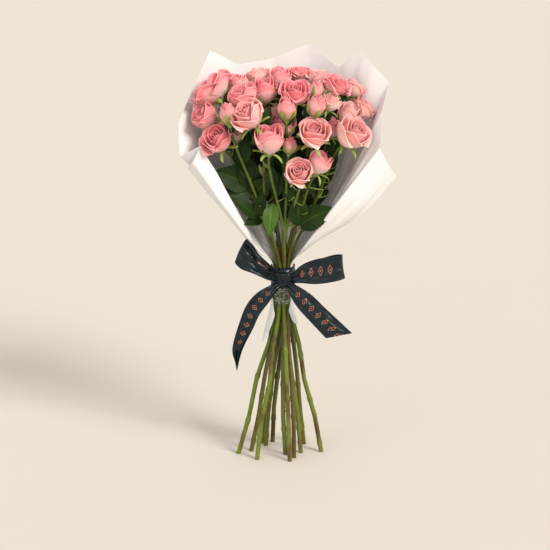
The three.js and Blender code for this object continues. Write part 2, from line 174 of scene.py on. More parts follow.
@dataclass(frozen=True)
class Petal(Finish):
    """Rose petal: thin moist skin with a soft velvet sheen, lit through at its rim.

    The eye sees a cream base, a pink face, deeper coral in the folds and a pale rim; the coral in the
    folds is painted shade, and the rim is the petal's paler edge with a painted highlight.

    Attributes:
        base: the colour at the petal's foot.
        low: the colour a quarter of the way up.
        face: the colour of its broad middle.
        blush: the deeper band under the rim.
        rim_highlight: the colour of the rim, the petal's paler edge with a painted highlight on it.
        fold: the deeper coral of painted shade, laid deep between the petals and towards the foot of
            the inner ones.
    """

    base: str = "#e8dcae"
    low: str = "#fcd6c8"
    face: str = "#fbb4b0"
    blush: str = "#f58c95"
    rim_highlight: str = "#f8b3b1"
    fold: str = "#e84c68"

    def colour(self, tree: Tree) -> Socket:
        """Colours the petal along, across and from the painted shade of the folds to the face, with a
        painted highlight at the rim.

        Args:
            tree: the material's tree.

        Returns:
            The colour's socket.
        """
        along, inner, tone, across = (
            node(tree, "Attribute", {}, "Fac", attribute_name=name)
            for name in ("along", "outward", "tone", "across")
        )
        # the last stop is a painted highlight along the rim, over the petal's paler edge
        stops = [
            (0.0, self.base), (0.25, self.low), (0.58, self.face), (0.9, self.blush), (1.0, self.rim_highlight),
        ]
        ramp = node(tree, "ValToRGB", {"Fac": along}, stops=stops)
        # painted shade: the fold colour darkens inner petals towards their foot, where the folds lie
        # in shade
        inner_shade = node(tree, "Math", {0: 1.0, 1: inner}, operation="SUBTRACT")
        sunk = node(tree, "Math", {0: 1.5, 1: along}, operation="SUBTRACT")
        depth = node(tree, "Math", {0: inner_shade, 1: sunk}, operation="MULTIPLY")
        deep = node(tree, "Math", {0: depth, 1: 1.15}, operation="MULTIPLY")
        folded = node(tree, "Mix", {0: deep, 6: ramp, 7: self.fold}, 2, data_type="RGBA")
        # a random tone turns some petals partly towards the rim's pale colour
        pale = node(tree, "Math", {0: tone, 1: 0.42}, operation="MULTIPLY")
        toned = node(tree, "Mix", {0: pale, 6: folded, 7: self.rim_highlight}, 2, data_type="RGBA")
        # veins run up the petal about 1 mm apart, drawn as wide as they need to show
        grain = node(tree, "CombineXYZ", {0: across, 1: along, 2: tone})
        scaled = node(tree, "Mapping", {"Vector": grain, "Scale": (11.0, 1.4, 9.0)})
        veins = node(tree, "TexNoise", {"Vector": scaled, "Scale": 1.0, "Detail": 3.0})
        faint = node(tree, "Math", {0: veins, 1: 0.34}, operation="MULTIPLY")
        layers = {0: faint, 6: toned, 7: self.fold}
        return node(tree, "Mix", layers, 2, data_type="RGBA", blend_type="SOFT_LIGHT")

    def height(self, tree: Tree) -> tuple[Socket, float] | None:
        """Raises fine veins along the petal.

        Args:
            tree: the material's tree.

        Returns:
            The height's socket and the depth in metres.
        """
        along, across = (
            node(tree, "Attribute", {}, "Fac", attribute_name=name) for name in ("along", "across")
        )
        grain = node(tree, "CombineXYZ", {0: across, 1: along, 2: 0.0})
        # a petal is about 20 mm wide, so that 16 across gives veins a little over 1 mm apart
        scaled = node(tree, "Mapping", {"Vector": grain, "Scale": (16.0, 2.0, 1.0)})
        return node(tree, "TexNoise", {"Vector": scaled, "Scale": 1.0}), 0.0006


@dataclass(frozen=True)
class Stalk(Finish):
    """Rose stem: waxy green skin with brown corky patches and fine lengthwise lines.

    The eye sees olive at the foot, fresh green near the flowers and reddish brown in between; the
    green near the flowers is darkened as painted shade inside the bunch.

    Attributes:
        foot: the colour near the cut end.
        top: the colour near the flowers, fresh green darkened as painted shade inside the bunch.
        patch: the colour of the corky patches and of woody stems.
        grain: the dark colour of the fine grain.
    """

    foot: str = "#788216"
    top: str = "#5c7424"
    patch: str = "#5c3a1a"
    grain: str = "#2f3612"

    def colour(self, tree: Tree) -> Socket:
        """Colours the skin green with brown patches.

        Args:
            tree: the material's tree.

        Returns:
            The colour's socket.
        """
        along, tone = (
            node(tree, "Attribute", {}, "Fac", attribute_name=name) for name in ("along", "tone")
        )
        place = node(tree, "TexCoord", {}, "Object")
        # painted shade: the skin darkens upwards into the bunch as it blends from foot to top
        green = node(tree, "Mix", {0: along, 6: self.foot, 7: self.top}, 2, data_type="RGBA")
        # patches are about 14 mm across and 40 mm long: 70 to the metre, drawn out along the stem
        tall = node(tree, "Mapping", {"Vector": place, "Scale": (1.0, 1.0, 0.35)})
        cloud = node(tree, "TexNoise", {"Vector": tall, "Scale": 70.0, "Detail": 4.0})
        patches = node(tree, "MapRange", {"Value": cloud, 1: 0.5, 2: 0.64, 3: 0.0, 4: 0.85})
        toned = node(tree, "Mix", {0: tone, 6: green, 7: self.patch}, 2, data_type="RGBA")
        marked = node(tree, "Mix", {0: patches, 6: toned, 7: self.patch}, 2, data_type="RGBA")
        # grain about 2.4 mm across: 420 to the metre
        fine = node(tree, "TexNoise", {"Vector": place, "Scale": 420.0})
        faint = node(tree, "Math", {0: fine, 1: 0.8}, operation="MULTIPLY")
        layers = {0: faint, 6: marked, 7: self.grain}
        return node(tree, "Mix", layers, 2, data_type="RGBA", blend_type="SOFT_LIGHT")

    def height(self, tree: Tree) -> tuple[Socket, float] | None:
        """Raises lengthwise lines about 1.1 mm apart: 900 to the metre.

        Args:
            tree: the material's tree.

        Returns:
            The height's socket and the depth in metres.
        """
        place = node(tree, "TexCoord", {}, "Object")
        tall = node(tree, "Mapping", {"Vector": place, "Scale": (900.0, 900.0, 60.0)})
        return node(tree, "TexNoise", {"Vector": tall, "Scale": 1.0}), 0.0004


@dataclass(frozen=True)
class Blade(Finish):
    """Rose leaf: a waxy green blade with a paler midrib and side veins.

    The eye sees a dark glossy face that pales to yellow green along the veins.

    Attributes:
        face: the colour between the veins.
        vein: the colour of the veins.
        veins: how many side veins the blade has on each side.
    """

    face: str = "#122105"
    vein: str = "#2f4b0d"
    veins: float = 7.0

    def colour(self, tree: Tree) -> Socket:
        """Colours the blade with its veins, over clouds about 11 mm across: 90 to the metre.

        Args:
            tree: the material's tree.

        Returns:
            The colour's socket.
        """
        place = node(tree, "TexCoord", {}, "Object")
        cloud = node(tree, "TexNoise", {"Vector": place, "Scale": 90.0, "Detail": 3.0})
        faint = node(tree, "Math", {0: cloud, 1: 0.45}, operation="MULTIPLY")
        face = node(tree, "Mix", {0: faint, 6: self.face, 7: self.vein}, 2, data_type="RGBA")
        return node(tree, "Mix", {0: self.lines(tree), 6: face, 7: self.vein}, 2, data_type="RGBA")

    def lines(self, tree: Tree) -> Socket:
        """Draws the midrib and the slanting side veins.

        Args:
            tree: the material's tree.

        Returns:
            The socket that is 1 on them and 0 between them.
        """
        along, wide = (
            node(tree, "Attribute", {}, "Fac", attribute_name=name) for name in ("along", "across")
        )
        across = node(tree, "Math", {0: wide}, operation="ABSOLUTE")
        lean = node(tree, "Math", {0: across, 1: 0.22}, operation="MULTIPLY")
        slant = node(tree, "Math", {0: along, 1: lean}, operation="SUBTRACT")
        count = node(tree, "Math", {0: slant, 1: self.veins * 2.0}, operation="MULTIPLY")
        wave = node(tree, "Math", {0: count, 1: 1.0}, operation="PINGPONG")
        side = node(tree, "MapRange", {"Value": wave, 1: 0.0, 2: 0.2, 3: 0.34, 4: 0.0})
        middle = node(tree, "MapRange", {"Value": across, 1: 0.02, 2: 0.1, 3: 0.9, 4: 0.0})
        return node(tree, "Math", {0: side, 1: middle}, operation="MAXIMUM")

    def height(self, tree: Tree) -> tuple[Socket, float] | None:
        """Returns the height of the face with the veins sunk into it."""
        return node(tree, "Math", {0: 1.0, 1: self.lines(tree)}, operation="SUBTRACT"), 0.0002


@dataclass(frozen=True)
class Wrap(Finish):
    """Uncoated wrapping paper: a sheet of soft white fibre.

    The eye sees a matt white that is faintly mottled and glows a little where light comes through.

    Attributes:
        sheet: the paper's white.
        shade: the slightly darker white of the mottling.
    """

    sheet: str = "#e5e4e2"
    shade: str = "#d1cecb"

    def colour(self, tree: Tree) -> Socket:
        """Colours the sheet white with a faint cloud about 33 mm across: 30 to the metre.

        Args:
            tree: the material's tree.

        Returns:
            The colour's socket.
        """
        place = node(tree, "TexCoord", {}, "Object")
        cloud = node(tree, "TexNoise", {"Vector": place, "Scale": 30.0, "Detail": 5.0})
        faint = node(tree, "Math", {0: cloud, 1: 0.75}, operation="MULTIPLY")
        return node(tree, "Mix", {0: faint, 6: self.sheet, 7: self.shade}, 2, data_type="RGBA")

    def height(self, tree: Tree) -> tuple[Socket, float] | None:
        """Returns fibres 1.4 mm apart, ten times coarser than life so that they show."""
        place = node(tree, "TexCoord", {}, "Object")
        return node(tree, "TexNoise", {"Vector": place, "Scale": 700.0, "Detail": 4.0}), 0.00012


@dataclass(frozen=True)
class Satin(Finish):
    """Polyester satin ribbon, woven smooth and printed with a row of foil lozenges.

    The eye sees a near-black teal with long soft highlights, and dull copper marks.

    Attributes:
        cloth: the ribbon's colour.
        sheen_teal: the lighter teal that clouds it, painted sheen standing in for the satin's soft
            highlights.
        foil: the print's colour.
        pitch: how far apart the lozenges are, in millimetres.
        shine: how metallic the print is, from 0 to 1.
    """

    cloth: str = "#04090c"
    sheen_teal: str = "#0f222a"
    foil: str = "#b37654"
    pitch: float = 11.0
    shine: float = 0.4

    def mark(self, tree: Tree) -> Socket:
        """Draws the printed lozenges, each an outline with a dot in it.

        Args:
            tree: the material's tree.

        Returns:
            The socket that is 1 on the print and 0 off it.
        """
        run, wide, printed = (
            node(tree, "Attribute", {}, "Fac", attribute_name=name)
            for name in ("run", "across", "printed")
        )
        count = node(tree, "Math", {0: run, 1: 1 / self.pitch}, operation="MULTIPLY")
        part = node(tree, "Math", {0: count}, operation="FRACT")
        offset = node(tree, "Math", {0: part, 1: 0.5}, operation="SUBTRACT")
        along = node(tree, "Math", {0: offset}, operation="ABSOLUTE")
        across = node(tree, "Math", {0: wide}, operation="ABSOLUTE")
        lengthwise = node(tree, "Math", {0: along, 1: 3.4}, operation="MULTIPLY")
        crosswise = node(tree, "Math", {0: across, 1: 2.3}, operation="MULTIPLY")
        lozenge = node(tree, "Math", {0: lengthwise, 1: crosswise}, operation="ADD")
        from_line = node(tree, "Math", {0: lozenge, 1: 0.82}, operation="SUBTRACT")
        outline = node(tree, "Math", {0: from_line}, operation="ABSOLUTE")
        ring = node(tree, "Math", {0: outline, 1: 0.1}, operation="LESS_THAN")
        dot = node(tree, "Math", {0: lozenge, 1: 0.24}, operation="LESS_THAN")
        either = node(tree, "Math", {0: ring, 1: dot}, operation="MAXIMUM")
        return node(tree, "Math", {0: either, 1: printed}, operation="MULTIPLY")

    def colour(self, tree: Tree) -> Socket:
        """Colours the cloth, clouded with painted sheen about every 18 mm (55 to the metre), with its
        print.

        Args:
            tree: the material's tree.

        Returns:
            The colour's socket.
        """
        place = node(tree, "TexCoord", {}, "Object")
        # painted sheen: lighter teal clouds stand in for the satin's soft highlights
        cloud = node(tree, "TexNoise", {"Vector": place, "Scale": 55.0, "Detail": 2.0})
        cloth = node(tree, "Mix", {0: cloud, 6: self.cloth, 7: self.sheen_teal}, 2, data_type="RGBA")
        return node(tree, "Mix", {0: self.mark(tree), 6: cloth, 7: self.foil}, 2, data_type="RGBA")

    def height(self, tree: Tree) -> tuple[Socket, float] | None:
        """Raises soft ripples, 18 mm long and a third of the width across, that break the gloss.

        Args:
            tree: the material's tree.

        Returns:
            The height's socket and the depth in metres.
        """
        run, across = (
            node(tree, "Attribute", {}, "Fac", attribute_name=name) for name in ("run", "across")
        )
        grain = node(tree, "CombineXYZ", {0: run, 1: across})
        scaled = node(tree, "Mapping", {"Vector": grain, "Scale": (0.055, 1.5, 1.0)})
        return node(tree, "TexNoise", {"Vector": scaled, "Scale": 1.0, "Detail": 1.0}), 0.0045

    def extras(self, tree: Tree, shader: bpy.types.Node) -> None:
        """Makes the foil metallic."""
        metal = node(tree, "Math", {0: self.mark(tree), 1: self.shine}, operation="MULTIPLY")
        tree.links.new(metal, shader.inputs["Metallic"])


@dataclass(frozen=True)
class Film(Finish):
    """Clear polypropylene binding tape, drawn thin and wound tight.

    The eye sees a glossy grey-green glaze over the stems, with bright milky crinkles painted on as
    white glints.

    Attributes:
        tint: the colour of the clear parts.
        crease: the colour of the creases, a milky white painted glint.
        clear: how much of the clear parts is seen, from 0 to 1.
        glint_share: how much more of the creases and their painted glints is seen.
    """

    tint: str = "#74796a"
    crease: str = "#dfe2d8"
    clear: float = 0.12
    glint_share: float = 0.4

    def creases(self, tree: Tree) -> Socket:
        """Draws the creases that carry the painted glints; they run round and are about 3 mm apart:
        300 to the metre.

        Args:
            tree: the material's tree.

        Returns:
            The socket that is 1 on them and 0 between them.
        """
        place = node(tree, "TexCoord", {}, "Object")
        flat = node(tree, "Mapping", {"Vector": place, "Scale": (110.0, 110.0, 300.0)})
        soft = node(tree, "TexNoise", {"Vector": flat, "Scale": 1.0, "Detail": 2.0})
        offset = node(tree, "Math", {0: soft, 1: 0.5}, operation="SUBTRACT")
        from_line = node(tree, "Math", {0: offset}, operation="ABSOLUTE")
        return node(tree, "MapRange", {"Value": from_line, 1: 0.0, 2: 0.028, 3: 1.0, 4: 0.0})

    def colour(self, tree: Tree) -> Socket:
        """Returns the socket of a grey-green tint with creases painted milky white as glints."""
        layers = {0: self.creases(tree), 6: self.tint, 7: self.crease}
        return node(tree, "Mix", layers, 2, data_type="RGBA")

    def extras(self, tree: Tree, shader: bpy.types.Node) -> None:
        """Lets the stems show through between the creases, where the painted glints stay more opaque.

        Args:
            tree: the material's tree.
            shader: the material's shader.
        """
        share = node(tree, "Math", {0: self.creases(tree), 1: self.glint_share}, operation="MULTIPLY")
        seen = node(tree, "Math", {0: self.clear, 1: share}, operation="ADD")
        tree.links.new(seen, shader.inputs["Alpha"])

    def height(self, tree: Tree) -> tuple[Socket, float] | None:
        """Returns sharp crinkles about 4 mm across: 240 to the metre."""
        place = node(tree, "TexCoord", {}, "Object")
        return node(tree, "TexVoronoi", {"Vector": place, "Scale": 240.0}), 0.0012


@dataclass(frozen=True)
class Plain(Finish):
    """Seamless paper backdrop, uncoated.

    The eye sees a matt pale cream with a faint mottle.

    Attributes:
        tint: the backdrop's colour.
        mottle: the slightly darker colour that clouds it.
    """

    tint: str = "#cec6bb"
    mottle: str = "#c8bfb3"

    def colour(self, tree: Tree) -> Socket:
        """Colours the paper a nearly even cream, clouded about every 330 mm: 3 to the metre.

        Args:
            tree: the material's tree.

        Returns:
            The colour's socket.
        """
        place = node(tree, "TexCoord", {}, "Object")
        cloud = node(tree, "TexNoise", {"Vector": place, "Scale": 3.0})
        faint = node(tree, "Math", {0: cloud, 1: 0.3}, operation="MULTIPLY")
        return node(tree, "Mix", {0: faint, 6: self.tint, 7: self.mottle}, 2, data_type="RGBA")


# light goes a few millimetres into petals, red the farthest
SOFT_SKIN = (
    ("Subsurface Weight", 0.35),
    ("Subsurface Radius", (0.006, 0.0022, 0.002)),
    ("Subsurface Scale", 1.0),
)
VELVET = (*SOFT_SKIN, ("Sheen Weight", 0.12))
LIT_THROUGH = (("Subsurface Weight", 0.1), ("Subsurface Radius", (0.006, 0.005, 0.004)))
PETAL = Petal("rose_petal", 0.44, VELVET)
# paler petals: some flowers' own paler pink, and painted highlight on the right-hand flowers that face
# the key light
PALE_PETAL = Petal("rose_petal_pale", 0.44, VELVET, face="#fdccbf", blush="#f9a8a2", rim_highlight="#fdd6cd")
BUD_PETAL = Petal(
    "rose_petal_bud", 0.5, SOFT_SKIN,
    base="#a8b26a", low="#dcb48f", face="#ee9c98", blush="#e98088", rim_highlight="#ecb0a8",
)
STALK = Stalk("rose_stem_skin", 0.42)
SEPAL = Blade("rose_sepal", 0.5, face="#7c9440", vein="#a9b968", veins=3.0)
LEAF_TOP = Blade("rose_leaf_face", 0.46, (("Specular IOR Level", 0.14),))
LEAF_BACK = Blade("rose_leaf_back", 0.55, face="#31471f", vein="#5d7340")
YOUNG_TOP = Blade(
    "young_leaf_face", 0.42, (("Specular IOR Level", 0.25),), face="#2f4d08", vein="#5a7a20"
)
YOUNG_BACK = Blade("young_leaf_back", 0.55, face="#648344", vein="#93a968")
PAPER = Wrap("white_wrapping_paper", 0.82, LIT_THROUGH)
RIBBON = Satin("teal_satin_ribbon", 0.28, (("Specular IOR Level", 0.3),))
TAPE = Film("clear_binding_film", 0.12, (("IOR", 1.49),))
FLOOR = Plain("cream_backdrop_paper", 0.9)


# ---------------------------------------------------------------------------------------------
# Mesh making
# ---------------------------------------------------------------------------------------------


class Mould:
    """Collects grids of points, in millimetres from the bunch's axis, into one mesh object.

    Attributes:
        sharp: the least angle between faces that stays a sharp edge, in degrees.
    """

    sharp: float = 50.0

    def __init__(self) -> None:
        """Starts with nothing in it."""
        self.points: list[np.ndarray] = []
        self.faces: list[tuple[int, ...]] = []
        self.slots: list[int] = []
        self.values: dict[str, list[np.ndarray]] = {}
        self.count = 0

    def take(self, points: np.ndarray, values: dict[str, np.ndarray]) -> int:
        """Adds points with their values.

        Args:
            points: an array of points of any shape.
            values: numbers for each point, or one number for all, by name.

        Returns:
            The first point's number.
        """
        flat = points.reshape(-1, 3)
        for name in set(self.values) | set(values):
            held = self.values.setdefault(name, [np.zeros(self.count)] if self.count else [])
            given = np.broadcast_to(np.asarray(values.get(name, 0.0), float), points.shape[:-1])
            held.append(given.reshape(-1))
        first = self.count
        self.points.append(flat)
        self.count += len(flat)
        return first

    def shell(
        self, points: np.ndarray, thickness: float, slots: tuple[int, int] = (0, 0), **values: Any
    ) -> None:
        """Adds a closed sheet of even thickness around a grid of points.

        Args:
            points: rows by columns by 3.
            thickness: in millimetres.
            slots: the material slots of the face that the grid's normals look out of, and the other.
            values: numbers for each point, kept on the mesh.
        """
        rows, columns = points.shape[:2]
        normal = np.cross(np.gradient(points, axis=1), np.gradient(points, axis=0))
        normal /= np.linalg.norm(normal, axis=2, keepdims=True) + NO_ZERO
        front = self.take(points + normal * thickness / 2, values)
        back = self.take(points - normal * thickness / 2, values)
        number = np.arange(rows * columns).reshape(rows, columns)
        corners = (np.s_[:-1, :-1], np.s_[:-1, 1:], np.s_[1:, 1:], np.s_[1:, :-1])
        a, b, c, d = (number[corner].ravel() for corner in corners)
        self.faces += list(zip(a + front, b + front, c + front, d + front))
        self.faces += list(zip(d + back, c + back, b + back, a + back))
        edge = [*number[0, :-1], *number[:-1, -1], *number[-1, :0:-1], *number[:0:-1, 0]]
        self.faces += [
            (p + front, p + back, q + back, q + front) for p, q in zip(edge, edge[1:] + edge[:1])
        ]
        self.slots += [slots[0]] * len(a) + [slots[1]] * len(a) + [slots[0]] * len(edge)

    def tube(
        self, path: np.ndarray, radii: np.ndarray, sides: int = 8, slot: int = 0, **values: Any
    ) -> None:
        """Adds a closed tube along a path.

        Args:
            path: points along the middle.
            radii: the radius at each point.
            sides: how many sides the section has.
            slot: the material slot.
            values: numbers for each point of the path, kept on the mesh.
        """
        tangent = np.gradient(path, axis=0)
        tangent /= np.linalg.norm(tangent, axis=1, keepdims=True) + NO_ZERO
        side = np.cross(tangent[0], [0.31, 0.95, 0.07])
        rings = []
        for middle, along, radius in zip(path, tangent, np.broadcast_to(radii, len(path))):
            side = side - along * side.dot(along)
            side /= np.linalg.norm(side)
            angles = np.arange(sides) * 2 * math.pi / sides
            other = np.cross(along, side)
            circle = np.outer(np.cos(angles), side) + np.outer(np.sin(angles), other)
            rings.append(middle + radius * circle)
        wide = {
            name: np.broadcast_to(np.asarray(given, float).reshape(-1, 1), (len(path), sides))
            for name, given in values.items()
        }
        first = self.take(np.array(rings), wide)
        for j in range(len(path) - 1):
            for i in range(sides):
                a, b = first + j * sides + i, first + j * sides + (i + 1) % sides
                self.faces.append((a, b, b + sides, a + sides))
        last = first + (len(path) - 1) * sides
        self.faces.append(tuple(range(first + sides - 1, first - 1, -1)))
        self.faces.append(tuple(range(last, last + sides)))
        self.slots += [slot] * ((len(path) - 1) * sides + 2)

    def build(
        self, name: str, finishes: list[Finish], press: Press | None = None
    ) -> bpy.types.Object:
        """Makes the mesh object in the scene, with smooth faces and its finishes.

        Args:
            name: the object's name.
            finishes: one for each material slot.
            press: moves the points clear of what they press on.

        Returns:
            The mesh object.
        """
        mesh = bpy.data.meshes.new(name)
        points = np.concatenate(self.points)
        mesh.from_pydata(in_row(press(points) if press else points).tolist(), [], self.faces)
        for key, parts in self.values.items():
            held = mesh.attributes.new(key, "FLOAT", "POINT")
            held.data.foreach_set("value", np.concatenate(parts).astype(np.float32))
        for finish in finishes:
            mesh.materials.append(finish.material())
        mesh.polygons.foreach_set("material_index", self.slots)
        mesh.polygons.foreach_set("use_smooth", [True] * len(mesh.polygons))
        mesh.set_sharp_from_angle(angle=math.radians(self.sharp))
        mesh.update()
        made = bpy.data.objects.new(name, mesh)
        bpy.context.scene.collection.objects.link(made)
        return made


def stand_for(piece: bpy.types.Object, slot: str, *nodes: str) -> None:
    """Lets a piece ride on the part in place of CAD nodes.

    Args:
        piece: the mesh object.
        slot: a name for what the piece is made of; not used.
        nodes: the CAD nodes that the piece stands for.
    """
    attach(piece, "root")
    if nodes:
        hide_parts(*nodes)
    LOG.info("%s: %d faces", piece.name, len(piece.data.polygons))


def ease(x: Any, low: float, high: float) -> np.ndarray:
    """Returns 0 below low, 1 above high and a smooth rise between them."""
    t = np.clip((np.asarray(x, float) - low) / (high - low), 0, 1)
    return t * t * (3 - 2 * t)


def curve_through(points: Any, steps: int) -> np.ndarray:
    """Draws a smooth centripetal curve through points.

    Args:
        points: the points to pass through.
        steps: how many points to return for each stretch between two given ones.

    Returns:
        Rows of x, y and z, with the first and last given points at its ends.
    """
    p = np.asarray(points, float)
    p = np.vstack([2 * p[0] - p[1], p, 2 * p[-1] - p[-2]])
    out = []
    for k in range(1, len(p) - 2):
        lengths = [np.linalg.norm(p[k + j] - p[k + j - 1]) for j in (0, 1, 2)]
        knots = np.cumsum([0, *(max(length, 1e-6) ** 0.5 for length in lengths)])
        end = k == len(p) - 3
        for t in np.linspace(knots[1], knots[2], steps + 1)[: steps + 1 if end else steps]:
            mix = [
                ((knots[j + 1] - t) * p[k - 1 + j] + (t - knots[j]) * p[k + j])
                / (knots[j + 1] - knots[j])
                for j in range(3)
            ]
            two = [
                ((knots[j + 2] - t) * mix[j] + (t - knots[j]) * mix[j + 1]) / (knots[j + 2] - knots[j])
                for j in range(2)
            ]
            out.append(((knots[2] - t) * two[0] + (t - knots[1]) * two[1]) / (knots[2] - knots[1]))
    return np.array(out)


def axis_of(lean: float, towards: float) -> np.ndarray:
    """Returns the unit vector that leans from +Z, towards an azimuth, both in degrees."""
    t, a = math.radians(lean), math.radians(towards)
    return np.array([math.sin(t) * math.cos(a), math.sin(t) * math.sin(a), math.cos(t)])


def frame_of(axis: np.ndarray, turn: float = 0.0) -> np.ndarray:
    """Works out the directions that stand square to an axis.

    Args:
        axis: a unit vector.
        turn: how far to turn the sides about it, in radians.

    Returns:
        A 3 by 3 of the side, other side and axis as rows.
    """
    side = np.cross(axis, [0.0, 1.0, 0.03])
    side /= np.linalg.norm(side)
    other = np.cross(axis, side)
    c, s = math.cos(turn), math.sin(turn)
    return np.array([c * side + s * other, c * other - s * side, axis])


# ---------------------------------------------------------------------------------------------
# Flowers
# ---------------------------------------------------------------------------------------------


@dataclass(frozen=True)
class Whorl:
    """One turn of petals.

    Attributes:
        petals: how many there are.
        radius: the widest radius as a share of the flower's.
        top: the petals' height as a share of the flower's.
        wrap: half of the angle that one petal goes round, in degrees.
        close: how far the tops lean in.
        curl: how far the lips roll out.
    """

    petals: int
    radius: float
    top: float
    wrap: float
    close: float
    curl: float


class Stage(Enum):
    """How far a flower has opened: its height as a share of its width, and its petals."""

    BUD = (1.45, (
        Whorl(2, 0.34, 1.0, 125, 0.7, 0.0), Whorl(3, 0.68, 0.985, 88, 0.55, 0.02),
        Whorl(3, 1.0, 0.92, 80, 0.48, 0.09),
    ))
    CUP = (1.12, (
        Whorl(2, 0.16, 0.93, 130, 0.35, 0.0), Whorl(3, 0.34, 0.96, 96, 0.32, 0.01),
        Whorl(3, 0.58, 0.99, 82, 0.28, 0.05), Whorl(3, 0.82, 1.0, 76, 0.22, 0.1),
        Whorl(3, 1.0, 0.93, 72, 0.16, 0.16),
    ))
    HALF = (0.98, (
        Whorl(2, 0.14, 0.91, 130, 0.3, 0.0), Whorl(3, 0.3, 0.95, 96, 0.27, 0.02),
        Whorl(3, 0.52, 0.985, 84, 0.22, 0.05), Whorl(3, 0.76, 1.0, 76, 0.15, 0.11),
        Whorl(4, 0.96, 0.93, 62, 0.08, 0.18), Whorl(2, 1.0, 0.84, 60, 0.02, 0.2),
    ))
    OPEN = (0.74, (
        Whorl(2, 0.13, 0.86, 125, 0.3, 0.0), Whorl(3, 0.29, 0.91, 96, 0.24, 0.03),
        Whorl(3, 0.5, 0.97, 82, 0.15, 0.08), Whorl(4, 0.72, 0.98, 66, 0.05, 0.15),
        Whorl(5, 0.93, 0.86, 56, 0.0, 0.24), Whorl(2, 0.98, 0.72, 58, -0.02, 0.24),
    ))


